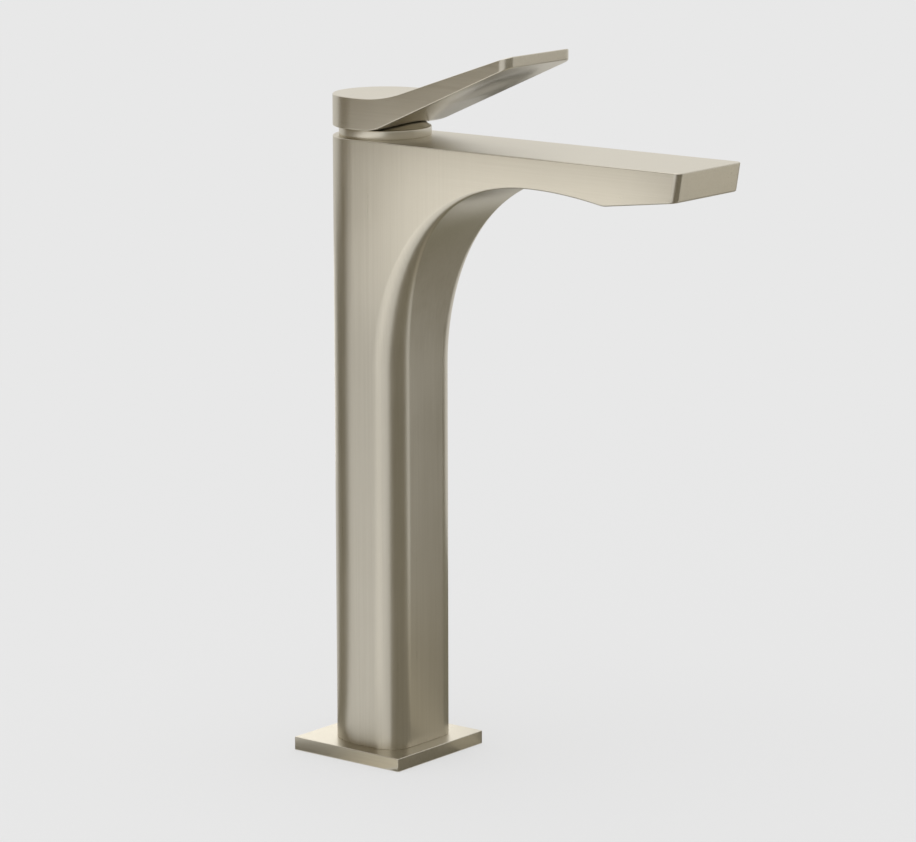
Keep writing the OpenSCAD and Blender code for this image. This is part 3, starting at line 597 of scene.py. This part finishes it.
# %% Skin of the collar
COLLAR_R, DOME_R = 20.3, 27.2
COLLAR_HOLE_R, NECK_R, LIP_Z = 16.0, 17.15, 280.9
DOME_OUTER_R, DOME_INNER_R = 19.4, 15.5
border = [(20.12, TOP_Z), (20.22, 277.3), (20.28, 278.0), (COLLAR_R, 279.0), (20.29, 280.0),
          (20.26, 280.5), (20.2, 280.75), (20.08, 280.93), (19.9, 281.02)]
dome_low = math.acos(DOME_OUTER_R / DOME_R)
dome_high = math.acos(DOME_INNER_R / DOME_R)
dome = [(DOME_R * math.cos(a), PIVOT_Z + DOME_R * math.sin(a))
        for a in turn_steps(dome_low, dome_high, 8)]
collar = lathe("collar_skin", border + dome, steps=128)
shape(collar, lathe("neck_hole", [(NECK_R, TOP_Z - 1), (NECK_R, LIP_Z)]))
shape(collar, lathe("collar_hole", [(COLLAR_HOLE_R, TOP_Z), (COLLAR_HOLE_R, HUB_TOP)]))
finished(collar, "root", "collar_ring")

# %% [markdown]
# ## The base plate
# A square cover, 60 mm wide and 6 mm thick. Its borders are broken by a hair, which draws the
# thin bright line along its near edges.

# %% Skin of the base plate
PLATE_W = 60.0
PLATE_ROUND = 0.3
PLATE_HOLE_R = 17.0
PLATE_CORNER_R = 0.5
GROOVE_OUTER_R, GROOVE_INNER_R, GROOVE_TOP = 25.25, 22.75, 2.45
plate_line = round_outline(PLATE_W, PLATE_W, PLATE_CORNER_R, 4)


def plate_row(inset, z):
    scale = (PLATE_W / 2 - inset) / (PLATE_W / 2)
    return [Vector((x * scale, y * scale, z)) for x, y in plate_line + plate_line[:1]]


plate_skin = Skin()
plate_rows = [plate_row(PLATE_ROUND, 0)]
quarter = [math.pi / 2 * k / ROUND_STEPS for k in range(ROUND_STEPS + 1)]
for a in quarter:
    plate_rows.append(plate_row(PLATE_ROUND * (1 - math.sin(a)), PLATE_ROUND * (1 - math.cos(a))))
for a in quarter:
    plate_rows.append(plate_row(PLATE_ROUND * (1 - math.cos(a)),
                                PLATE_T - PLATE_ROUND * (1 - math.sin(a))))
for one, other in zip(plate_rows, plate_rows[1:]):
    plate_skin.strip(one, other)
plate_skin.face(plate_rows[0][:-1])
plate_skin.face(plate_rows[-1][:-1])
plate = plate_skin.piece("plate_skin")
shape(plate, lathe("tap_hole", [(PLATE_HOLE_R, -1), (PLATE_HOLE_R, PLATE_T + 1)]))
shape(plate, lathe("groove_outer", [(GROOVE_OUTER_R, -1), (GROOVE_OUTER_R, GROOVE_TOP)]))
core_top = GROOVE_TOP + 0.15        # the core reaches into the plate, so the union has no seam
shape(plate, lathe("groove_core", [(GROOVE_INNER_R, 0), (GROOVE_INNER_R, core_top)]), "UNION")
shape(plate, lathe("tap_hole_again", [(PLATE_HOLE_R, -1), (PLATE_HOLE_R, PLATE_T + 1)]))
finished(plate, "root", "base_plate")

# %% [markdown]
# ## Stud and nut
# Seen from below, a plain rod would not read as a stud. Its thread is a real groove: every row
# of points climbs by one pitch in one turn, so it ends where a later row begins, and crest,
# flanks and root run on as one spiral. The nut has the usual chamfers.

# %% Thread of the stud, chamfers of the nut
STUD_Y, STUD_R, STUD_FOOT, STUD_TOP = 10.0, 4.0, -75.0, 19.95
PITCH, THREAD_DEPTH, THREAD_ROWS = 1.25, 0.6, 4
NUT_LOW, NUT_HIGH, NUT_FLATS, CHAMFER = -34.0, -26.0, 13.0, 0.7


def thread_row(k):
    """Row k of the spiral: two rows on the crest, then two in the root."""
    widest = STUD_R if k % THREAD_ROWS < 2 else STUD_R - THREAD_DEPTH
    row = []
    for a in turn_steps(0, 2 * math.pi, 32):
        z = STUD_FOOT + PITCH * (k / THREAD_ROWS - 1 + a / (2 * math.pi))
        z = min(STUD_TOP, max(STUD_FOOT, z))
        r = min(widest, STUD_R - 2 * THREAD_DEPTH + min(z - STUD_FOOT, STUD_TOP - z))
        row.append(Vector((r * math.cos(a), STUD_Y + r * math.sin(a), z)))
    return row


stud_skin = Skin()
turns = math.ceil((STUD_TOP - STUD_FOOT) / PITCH + 1)
stud_rows = [thread_row(k) for k in range(turns * THREAD_ROWS + 1)]
for one, other in zip(stud_rows, stud_rows[1:]):
    stud_skin.strip(one, other)
stud_skin.face(stud_rows[0][:-1])
stud_skin.face(stud_rows[-1][:-1])
stud = finished(stud_skin.piece("stud_skin"), "root", "mounting_stud")

middle = (0, STUD_Y, 0)
corner_r = NUT_FLATS / math.sqrt(3)
hexagon = [(corner_r * math.cos(k * math.pi / 3), STUD_Y + corner_r * math.sin(k * math.pi / 3))
           for k in range(6)]
nut = slab("nut_skin", hexagon, NUT_LOW, NUT_HIGH)
wide, slim = corner_r + 0.05, corner_r + 0.05 - 2 * CHAMFER
nut_cone = [(slim - 0.2, NUT_LOW - 0.1), (wide, NUT_LOW + CHAMFER),
            (wide, NUT_HIGH - CHAMFER), (slim - 0.2, NUT_HIGH + 0.1)]
shape(nut, lathe("nut_cone", nut_cone, middle), "INTERSECT")
hole_r = STUD_R + 0.05
nut_bore = [(hole_r + CHAMFER, NUT_LOW - 0.1), (hole_r, NUT_LOW + CHAMFER),
            (hole_r, NUT_HIGH - CHAMFER), (hole_r + CHAMFER, NUT_HIGH + 0.1)]
shape(nut, lathe("nut_hole", nut_bore, middle))
finished(nut, "root", "mounting_nut")

# %% [markdown]
# ## Effects that several finishes share
# Brushed lines, a handling film, worn edges, turned rings and a moulded grain are each a small
# node group. A group reads the piece's own coordinates, so the pattern moves with the piece, and
# gives back only a mask between 0 and 1. The finish that uses it decides what the mask does.

# %% Node group helper
def start_group(name, inputs, output):
    group = bpy.data.node_groups.new(name, "ShaderNodeTree")
    for label, kind, value in inputs:
        entry = group.interface.new_socket(name=label, in_out="INPUT", socket_type=kind)
        entry.default_value = value
    group.interface.new_socket(name=output, in_out="OUTPUT", socket_type="NodeSocketFloat")
    add = group.nodes.new
    return group, add, add("NodeGroupInput"), add("NodeGroupOutput")


def calc(nodes, links, operation, a, b=None, clamp=False):
    """A math node; a and b are sockets or numbers. Gives its output socket."""
    node = nodes.new("ShaderNodeMath")
    node.operation = operation
    node.use_clamp = clamp
    for slot_in, value in zip(node.inputs, (a, b)):
        if isinstance(value, bpy.types.NodeSocket):
            links.new(value, slot_in)
        elif value is not None:
            slot_in.default_value = value
    return node.outputs[0]


# %% Brushed lines
lines_group, add, entry, leave = start_group(
    "brushed lines", [("Stretch", "NodeSocketVector", (900, 900, 12))], "Line")
coords, noise = add("ShaderNodeTexCoord"), add("ShaderNodeTexNoise")
stretch = add("ShaderNodeVectorMath")
stretch.operation = "MULTIPLY"
noise.inputs["Scale"].default_value = 1
noise.inputs["Detail"].default_value = 4
noise.inputs["Roughness"].default_value = 0.65
lines_group.links.new(coords.outputs["Object"], stretch.inputs[0])
lines_group.links.new(entry.outputs["Stretch"], stretch.inputs[1])
lines_group.links.new(stretch.outputs[0], noise.inputs["Vector"])
lines_group.links.new(noise.outputs["Fac"], leave.inputs["Line"])

# %% Handling film
film_group, add, entry, leave = start_group(
    "handling film", [("Scale", "NodeSocketFloat", 25.0)], "Film")
coords, noise = add("ShaderNodeTexCoord"), add("ShaderNodeTexNoise")
ramp = add("ShaderNodeMapRange")
noise.inputs["Detail"].default_value = 3
ramp.inputs["From Min"].default_value = 0.35
ramp.inputs["From Max"].default_value = 0.65
film_group.links.new(coords.outputs["Object"], noise.inputs["Vector"])
film_group.links.new(entry.outputs["Scale"], noise.inputs["Scale"])
film_group.links.new(noise.outputs["Fac"], ramp.inputs["Value"])
film_group.links.new(ramp.outputs[0], leave.inputs["Film"])

# %% Worn edges
wear_group, add, entry, leave = start_group(
    "worn edges", [("Radius", "NodeSocketFloat", 0.0006)], "Edge")
bevel, form = add("ShaderNodeBevel"), add("ShaderNodeNewGeometry")
meet = add("ShaderNodeVectorMath")
bevel.samples = 4
meet.operation = "DOT_PRODUCT"
wear_group.links.new(entry.outputs["Radius"], bevel.inputs["Radius"])
wear_group.links.new(bevel.outputs[0], meet.inputs[0])
wear_group.links.new(form.outputs["Normal"], meet.inputs[1])
gap = calc(wear_group.nodes, wear_group.links, "SUBTRACT", 1.0, meet.outputs["Value"])
edge = calc(wear_group.nodes, wear_group.links, "MULTIPLY", gap, 6.0, clamp=True)
wear_group.links.new(edge, leave.inputs["Edge"])

# %% Turned rings
rings_group, add, entry, leave = start_group(
    "turned rings",
    [("Middle", "NodeSocketVector", (0, 0, 0)), ("Pitch", "NodeSocketFloat", 9000.0)], "Ring")
coords, off = add("ShaderNodeTexCoord"), add("ShaderNodeVectorMath")
flat = add("ShaderNodeVectorMath")
reach, uneven = add("ShaderNodeVectorMath"), add("ShaderNodeTexNoise")
off.operation, flat.operation, reach.operation = "SUBTRACT", "MULTIPLY", "LENGTH"
flat.inputs[1].default_value = (1, 1, 0)
uneven.inputs["Scale"].default_value = 400
rings_group.links.new(coords.outputs["Object"], off.inputs[0])
rings_group.links.new(entry.outputs["Middle"], off.inputs[1])
rings_group.links.new(off.outputs[0], flat.inputs[0])
rings_group.links.new(flat.outputs[0], reach.inputs[0])
rings_group.links.new(coords.outputs["Object"], uneven.inputs["Vector"])
far = calc(rings_group.nodes, rings_group.links, "MULTIPLY",
           reach.outputs["Value"], entry.outputs["Pitch"])
wobble = calc(rings_group.nodes, rings_group.links, "ADD", far, uneven.outputs["Fac"])
wave = calc(rings_group.nodes, rings_group.links, "SINE", wobble)
half = calc(rings_group.nodes, rings_group.links, "MULTIPLY", wave, 0.5)
ring = calc(rings_group.nodes, rings_group.links, "ADD", half, 0.5)
rings_group.links.new(ring, leave.inputs["Ring"])

# %% Moulded grain
grain_group, add, entry, leave = start_group(
    "moulded grain", [("Scale", "NodeSocketFloat", 3000.0)], "Grain")
coords, noise = add("ShaderNodeTexCoord"), add("ShaderNodeTexNoise")
noise.inputs["Detail"].default_value = 2
grain_group.links.new(coords.outputs["Object"], noise.inputs["Vector"])
grain_group.links.new(entry.outputs["Scale"], noise.inputs["Scale"])
grain_group.links.new(noise.outputs["Fac"], leave.inputs["Grain"])
print("node groups:", [g.name for g in bpy.data.node_groups])

# %% [markdown]
# ## Satin nickel
# The faucet is plated in a warm nickel and brushed by hand with a fine pad: along the column, and
# then lengthwise along the spout and the lever. The metal mirrors its surroundings softly, so
# its look is colour, roughness and very fine lines. The thin rounds are polished a little
# brighter by the pad.

# %% A finish and its nodes
class Finish:
    """A material with its Principled shader, and short ways to feed it."""

    def __init__(self, name, metallic=0.0, roughness=0.5):
        self.material = bpy.data.materials.new(name)
        self.material.use_nodes = True
        self.nodes, self.links = self.material.node_tree.nodes, self.material.node_tree.links
        self.shader = next(n for n in self.nodes if n.type == "BSDF_PRINCIPLED")
        self.shader.inputs["Metallic"].default_value = metallic
        self.shader.inputs["Roughness"].default_value = roughness

    def mask(self, group, **values):
        node = self.nodes.new("ShaderNodeGroup")
        node.node_tree = group
        for label, value in values.items():
            node.inputs[label].default_value = value
        return node.outputs[0]

    def blend(self, mask, one, other):
        """Colour that goes from one to other with the mask."""
        node = self.nodes.new("ShaderNodeMix")
        node.data_type = "RGBA"
        self.links.new(mask, node.inputs["Factor"])
        for label, value in (("A", one), ("B", other)):
            slot_in = next(s for s in node.inputs if s.name == label and s.type == "RGBA")
            if isinstance(value, bpy.types.NodeSocket):
                self.links.new(value, slot_in)
            else:
                slot_in.default_value = (*value, 1)
        return next(s for s in node.outputs if s.type == "RGBA")

    def between(self, mask, low, high, start=0.0, end=1.0):
        """Number that goes from low to high while the mask goes from start to end."""
        node = self.nodes.new("ShaderNodeMapRange")
        self.links.new(mask, node.inputs["Value"])
        for label, value in (("From Min", start), ("From Max", end),
                             ("To Min", low), ("To Max", high)):
            node.inputs[label].default_value = value
        return node.outputs[0]

    def math(self, operation, a, b=None, clamp=False):
        return calc(self.nodes, self.links, operation, a, b, clamp)

    def feed(self, **sockets):
        for label, socket in sockets.items():
            self.links.new(socket, self.shader.inputs[label.replace("_", " ")])

    def relief(self, height, strength, depth):
        node = self.nodes.new("ShaderNodeBump")
        node.inputs["Strength"].default_value = strength
        node.inputs["Distance"].default_value = depth
        self.links.new(height, node.inputs["Height"])
        self.links.new(node.outputs[0], self.shader.inputs["Normal"])


# %% Satin nickel finishes
NICKEL_DEEP = (0.575, 0.535, 0.445)
NICKEL_PALE = (0.640, 0.600, 0.510)
NICKEL_EDGE = (0.760, 0.725, 0.640)
NICKEL_ROUGH = 0.30
NICKEL_GRAZING = (0.985, 0.97, 0.93, 1)


def satin_nickel(name, stretch, turn_to=None):
    """turn_to is a second stretch that takes over towards the spout's end."""
    finish = Finish(name, metallic=1.0)
    finish.shader.inputs["Specular Tint"].default_value = NICKEL_GRAZING
    line = finish.mask(lines_group, Stretch=stretch)
    if turn_to:
        place = finish.nodes.new("ShaderNodeTexCoord")
        split = finish.nodes.new("ShaderNodeSeparateXYZ")
        finish.links.new(place.outputs["Object"], split.inputs[0])
        share = finish.between(split.outputs["Y"], 1.0, 0.0, -0.085, -0.028)
        other = finish.mask(lines_group, Stretch=turn_to)
        gap = finish.math("SUBTRACT", other, line)
        line = finish.math("ADD", line, finish.math("MULTIPLY", gap, share))
    film = finish.mask(film_group, Scale=28.0)
    edge = finish.mask(wear_group, Radius=0.0007)
    tone = finish.math("ADD", finish.between(line, 0.0, 0.7, 0.3, 0.7),
                       finish.math("MULTIPLY", film, 0.3))
    colour = finish.blend(tone, NICKEL_DEEP, NICKEL_PALE)
    finish.feed(Base_Color=finish.blend(finish.math("MULTIPLY", edge, 0.6), colour, NICKEL_EDGE))
    rough = finish.between(line, NICKEL_ROUGH - 0.03, NICKEL_ROUGH + 0.03, 0.3, 0.7)
    rough = finish.math("ADD", rough, finish.math("MULTIPLY", film, 0.03))
    finish.feed(Roughness=finish.math("SUBTRACT", rough, finish.math("MULTIPLY", edge, 0.06)))
    finish.relief(line, 0.12, 0.00006)
    return finish.material


ALONG_Z, ALONG_Y = (900, 900, 11), (900, 11, 900)
nickel_body = satin_nickel("satin nickel, column to spout", ALONG_Z, ALONG_Y)
nickel_lever = satin_nickel("satin nickel, lengthwise", ALONG_Y)
nickel_round = satin_nickel("satin nickel, round", (60, 60, 1400))

# %% [markdown]
# ## Turned and drawn metals
# Brass and steel pieces come off a lathe, so fine rings run round them, each about its own axis.
# Copper tube is drawn, with long pale lines. None of them is polished where nobody looks.

# %% Brass, steel and copper finishes
def turned_metal(name, deep, pale, roughness, middle):
    finish = Finish(name, metallic=1.0)
    ring = finish.mask(rings_group, Middle=middle)
    film = finish.mask(film_group, Scale=90.0)
    edge = finish.mask(wear_group, Radius=0.0004)
    colour = finish.blend(film, deep, pale)
    bright = tuple(min(1, c * 1.15) for c in pale)
    finish.feed(Base_Color=finish.blend(finish.math("MULTIPLY", edge, 0.5), colour, bright))
    finish.feed(Roughness=finish.math("ADD", finish.between(film, roughness, roughness + 0.08),
                                      finish.math("MULTIPLY", ring, 0.04)))
    finish.relief(ring, 0.2, 0.00002)
    return finish.material


STUD_AXIS = (0, 0.010, 0)
brass_axis = turned_metal("brass, turned", (0.70, 0.54, 0.26), (0.80, 0.65, 0.36), 0.26, (0, 0, 0))
brass_stud = turned_metal("brass, nut", (0.70, 0.54, 0.26), (0.80, 0.65, 0.36), 0.28, STUD_AXIS)
steel_axis = turned_metal("steel, turned", (0.52, 0.52, 0.54), (0.62, 0.62, 0.64), 0.30, (0, 0, 0))
steel_stud = turned_metal("steel, stud", (0.52, 0.52, 0.54), (0.62, 0.62, 0.64), 0.32, STUD_AXIS)

copper = Finish("copper, drawn", metallic=1.0)
drawn = copper.mask(lines_group, Stretch=(2200, 2200, 20))
copper_film = copper.mask(film_group, Scale=60.0)
copper.feed(Base_Color=copper.blend(copper_film, (0.64, 0.34, 0.21), (0.76, 0.46, 0.32)))
copper.feed(Roughness=copper.between(drawn, 0.24, 0.36, 0.3, 0.7))
copper.relief(drawn, 0.1, 0.00002)

# %% [markdown]
# ## Rubber, ceramic and plastics
# Seals are matt black rubber with a dusty bloom. The two discs are lapped ceramic, cream and
# nearly a mirror where they slide. The cartridge's plastics are moulded and slightly grained.

# %% Rubber, ceramic and plastic finishes
def moulded(name, deep, pale, roughness, grain_scale, depth):
    finish = Finish(name)
    grain = finish.mask(grain_group, Scale=grain_scale)
    film = finish.mask(film_group, Scale=120.0)
    edge = finish.mask(wear_group, Radius=0.0004)
    colour = finish.blend(film, deep, pale)
    worn = tuple(min(1, c * 1.1 + 0.01) for c in pale)
    finish.feed(Base_Color=finish.blend(finish.math("MULTIPLY", edge, 0.4), colour, worn))
    finish.feed(Roughness=finish.math("ADD", finish.between(film, roughness, roughness + 0.07),
                                      finish.math("MULTIPLY", grain, 0.05)))
    finish.relief(grain, 0.15, depth)
    return finish.material


finishes = {
    "rubber": moulded("rubber, matt", (0.030, 0.030, 0.034), (0.055, 0.055, 0.060),
                      0.62, 2500.0, 0.00004),
    "ceramic": moulded("ceramic, lapped", (0.83, 0.82, 0.78), (0.88, 0.87, 0.84),
                       0.08, 5000.0, 0.000004),
    "white_plastic": moulded("white plastic", (0.80, 0.81, 0.82), (0.85, 0.86, 0.87),
                             0.36, 3500.0, 0.00002),
    "grey_plastic": moulded("grey plastic", (0.14, 0.15, 0.17), (0.19, 0.20, 0.22),
                            0.40, 3500.0, 0.00002),
    "red_plastic": moulded("red plastic", (0.56, 0.06, 0.05), (0.66, 0.09, 0.08),
                           0.36, 3500.0, 0.00002),
    "brass": brass_axis,
    "steel": steel_axis,
    "copper": copper.material,
    "satin_nickel": nickel_round,
}
special = {
    "mounting_nut": brass_stud,
    "mounting_stud": steel_stud,
    "clamp_plate": steel_stud,
    "outlet_insert": nickel_lever,
}

# %% [markdown]
# ## Dressing every piece
# The record says which finish each node of the engineering model has. The pieces that stay as
# they are get that finish, and the six new skins get one that follows their own shape or axis.

# %% Materials onto pieces
def dress(piece, material):
    piece.data.materials.clear()
    piece.data.materials.append(material)


slot_of = {row["node"]: row["material_slot"] for row in frame["record"]["subparts"]}
for name, node in frame["nodes"].items():
    dress(node, special.get(name, finishes[slot_of[name]]))
dress(body, nickel_body)
dress(lever, nickel_lever)
dress(plate, nickel_lever)
dress(collar, nickel_round)
dress(stud, steel_stud)
dress(nut, brass_stud)
print("dressed nodes:", len(slot_of))

# %% [markdown]
# ## The floor and the backdrop
# The photograph shows a plain pale grey all round. One large floor fills the view, because the
# camera looks down on it everywhere. To the camera and to mirrors it is that grey, and near the
# faucet a share of it is a real matt surface, which keeps the soft shadow. From below the floor
# lets the view through, so that the fixing under the deck can be seen.

# %% Floor
BACKDROP = 0.807
FLOOR_SIZE = 24.0
SHADOW_SHARE = 0.35
SHADOW_NEAR, SHADOW_FAR = 0.15, 0.9      # metres over which the shadow fades out

floor_mesh = bpy.data.meshes.new("floor")
s = FLOOR_SIZE / 2
floor_mesh.from_pydata([(-s, -s, 0), (s, -s, 0), (s, s, 0), (-s, s, 0)], [], [(0, 1, 2, 3)])
floor = bpy.data.objects.new("floor", floor_mesh)
bpy.context.scene.collection.objects.link(floor)

ground = bpy.data.materials.new("pale floor")
ground.use_nodes = True
nodes, links = ground.node_tree.nodes, ground.node_tree.links
nodes.clear()
out, matt = nodes.new("ShaderNodeOutputMaterial"), nodes.new("ShaderNodeBsdfDiffuse")
glow = nodes.new("ShaderNodeEmission")
matt.inputs["Color"].default_value = (0.80, 0.80, 0.80, 1)
glow.inputs["Color"].default_value = (BACKDROP, BACKDROP, BACKDROP, 1)
path, form = nodes.new("ShaderNodeLightPath"), nodes.new("ShaderNodeNewGeometry")
seen = calc(nodes, links, "ADD", path.outputs["Is Camera Ray"], path.outputs["Is Glossy Ray"])
seen = calc(nodes, links, "ADD", seen, path.outputs["Is Transmission Ray"], clamp=True)
reach = nodes.new("ShaderNodeVectorMath")
reach.operation = "LENGTH"
links.new(form.outputs["Position"], reach.inputs[0])
near = nodes.new("ShaderNodeMapRange")
near.interpolation_type = "SMOOTHSTEP"
for label, value in (("From Min", SHADOW_NEAR), ("From Max", SHADOW_FAR),
                     ("To Min", 1 - SHADOW_SHARE), ("To Max", 1.0)):
    near.inputs[label].default_value = value
links.new(reach.outputs["Value"], near.inputs["Value"])
share = calc(nodes, links, "MULTIPLY", seen, near.outputs[0])
top_mix, side_mix = nodes.new("ShaderNodeMixShader"), nodes.new("ShaderNodeMixShader")
clear = nodes.new("ShaderNodeBsdfTransparent")
links.new(share, top_mix.inputs[0])
links.new(matt.outputs[0], top_mix.inputs[1])
links.new(glow.outputs[0], top_mix.inputs[2])
links.new(form.outputs["Backfacing"], side_mix.inputs[0])
links.new(top_mix.outputs[0], side_mix.inputs[1])
links.new(clear.outputs[0], side_mix.inputs[2])
links.new(side_mix.outputs[0], out.inputs["Surface"])
floor_mesh.materials.append(ground)

world = bpy.data.worlds.new("pale studio")
world.use_nodes = True
sky = next(n for n in world.node_tree.nodes if n.type == "BACKGROUND")
sky.inputs["Color"].default_value = (BACKDROP, BACKDROP, BACKDROP, 1)
sky.inputs["Strength"].default_value = 1.0
bpy.context.scene.world = world

# %% [markdown]
# ## Light and flags
# Satin metal is lit by what it mirrors. In the photograph the faces turned to the left mirror a
# bright window of light, and the corner and the front mirror something dark. Photographers do
# that with a soft box on one side and dark flags round the other. The flags here are seen only
# by the metal: they cast no shadow and the camera looks through them. Their places and tones were
# found by trial, for the view of the photograph. Another view would want its own.

# %% Soft boxes
def soft_box(name, azimuth, distance, low, high, width, radiance):
    """Upright lamp at an azimuth from +X, counter-clockwise, that faces the faucet."""
    lamp = bpy.data.lights.new(name, "AREA")
    lamp.shape = "RECTANGLE"
    lamp.size, lamp.size_y = width, high - low
    lamp.energy = radiance * math.pi * lamp.size * lamp.size_y
    box = bpy.data.objects.new(name, lamp)
    a = math.radians(azimuth)
    box.location = (distance * math.cos(a), distance * math.sin(a), (low + high) / 2)
    box.rotation_euler = (math.pi / 2, 0, a + math.pi / 2)
    box.visible_camera = False
    bpy.context.scene.collection.objects.link(box)
    return box


soft_box("back_window", 38, 1.6, 0.35, 1.5, 2.4, 0.16)
OVERHEAD_SIZE, OVERHEAD_RADIANCE = 1.6, 0.9
overhead = bpy.data.lights.new("overhead", "AREA")
overhead.size = OVERHEAD_SIZE
overhead.energy = OVERHEAD_RADIANCE * math.pi * OVERHEAD_SIZE ** 2
overhead_box = bpy.data.objects.new("overhead", overhead)
overhead_box.location = (-0.2, 0.1, 1.7)
overhead_box.visible_camera = False
bpy.context.scene.collection.objects.link(overhead_box)

# %% Dark flags
FLAG_LIFT = 0.4         # millimetres over the floor
FLAG_ROUGH = 0.9


def unseen(sheet, finish_name, colour, glow=0.0):
    """Dresses a cloth or a card that only the metal sees; a glow is painted light."""
    sheet.visible_camera = sheet.visible_diffuse = sheet.visible_shadow = False
    plain = Finish(finish_name, roughness=FLAG_ROUGH)
    plain.shader.inputs["Base Color"].default_value = (*colour, 1)
    if glow:
        plain.shader.inputs["Emission Color"].default_value = (1, 0.99, 0.97, 1)
        plain.shader.inputs["Emission Strength"].default_value = glow
    dress(sheet, plain.material)


def flag(name, start, end, inner, radius, height, colour):
    """A low tray: a sector of cloth on the floor from inner to radius, and a wall round it."""
    skin = Skin()
    ring = turn_steps(math.radians(start), math.radians(end), 24)
    near_row, far_row = [[Vector((r * 1000 * math.cos(a), r * 1000 * math.sin(a), FLAG_LIFT))
                          for a in ring] for r in (inner, radius)]
    wall_row = [p + Vector((0, 0, height * 1000)) for p in far_row]
    skin.strip(near_row, far_row)
    skin.strip(far_row, wall_row)
    tray = skin.piece(name)
    unseen(tray, name + " cloth", colour)


FLAGS = (       # azimuths in degrees, inner edge, outer edge and wall in metres, colour
    ("front_flag", 220, 295, 0.03, 0.50, 0.35, (0.25, 0.23, 0.18)),
    ("right_flag", 314, 342, 0.03, 0.60, 0.16, (0.225, 0.207, 0.162)),
    ("gap_flag", 295, 314, 0.03, 0.32, 0.0, (0.48, 0.445, 0.36)),
    ("side_flag", 342, 365, 0.03, 0.36, 0.02, (0.22, 0.21, 0.155)),
    ("near_flag", 365, 412, 0.03, 0.29, 0.02, (0.22, 0.21, 0.155)),
    ("lever_flag", 23, 37, 0.34, 0.60, 0.0, (0.02, 0.019, 0.014)),
    ("back_flag", 80, 124, 0.05, 0.60, 0.16, (0.24, 0.22, 0.17)),
)
for row in FLAGS:
    flag(*row)

# Painted shade: a fan of dark to pale cloths stands for the floor's shadow right beside the plate,
# which the plate's sides mirror.
FOOT_START, FOOT_STEP, FOOT_REACH = 128, 11, 0.056      # a fan beside the plate, dark to pale
FOOT_SHADE_GREYS = (0.26, 0.28, 0.33, 0.45, 0.58, 0.70, 0.80, 0.90)
for k, pale in enumerate(FOOT_SHADE_GREYS):
    start = FOOT_START + FOOT_STEP * k
    flag(f"foot_flag_{k}", start, start + FOOT_STEP, 0.03, FOOT_REACH, 0.0,
         (pale, 0.95 * pale, 0.82 * pale))

# %% Cards
def board(name, corners, colour, glow=0.0):
    """A flat card from four corners in metres; its glow is painted light."""
    skin = Skin()
    skin.face([Vector(c) * 1000 for c in corners])
    card = skin.piece(name)
    unseen(card, name + " paper", colour, glow)


def standing(one, other, low, high):
    """Corners of an upright card over the floor's line from one (x, y) to the other."""
    return [(*one, low), (*other, low), (*other, high), (*one, high)]


def facing(azimuth, distance, width, low, high):
    """Corners of an upright card that faces the faucet from an azimuth."""
    a = math.radians(azimuth)
    mid = Vector((distance * math.cos(a), distance * math.sin(a)))
    side = Vector((-math.sin(a), math.cos(a))) * width / 2
    return standing(mid - side, mid + side, low, high)


# Cards with a glow shine by themselves: painted light in the metal's reflections, on top of the
# light their paper gives back.
PAPER = (0.7, 0.7, 0.7)
board("left_flag", facing(130, 0.9, 1.1, 0.11, 0.9), (0.235, 0.198, 0.135))
board("spout_bounce_and_glow", standing((-0.145, -0.085), (-0.145, 0.08), 0.185, 0.262), PAPER, 0.8)
board("lever_card", standing((0.13, -0.004), (0.13, 0.030), 0.215, 0.252), (0.03, 0.026, 0.012))
board("plate_card", facing(47, 0.35, 0.18, 0.05, 0.17), PAPER, 1.1)
board("left_bounce_and_glow", [(-0.12, -0.03, 0.001), (-1.3, -0.1, 0.001), (-1.3, 0.42, 0.001),
                      (-0.12, 0.05, 0.001)], PAPER, 0.32)
board("tip_card", standing((0.12, -0.31), (0.20, -0.23), 0.17, 0.235), (0.6, 0.57, 0.5), 0.2)
board("lever_tip_card", standing((0.16, -0.28), (0.24, -0.19), 0.262, 0.315),
      (0.42, 0.39, 0.33), 0.2)
print("flags:", len(FLAGS) + len(FOOT_SHADE_GREYS))

# %% [markdown]
# ## Picture settings
# The picture settings stay plain.

# %% Finish
bpy.context.scene.view_settings.view_transform = "Standard"
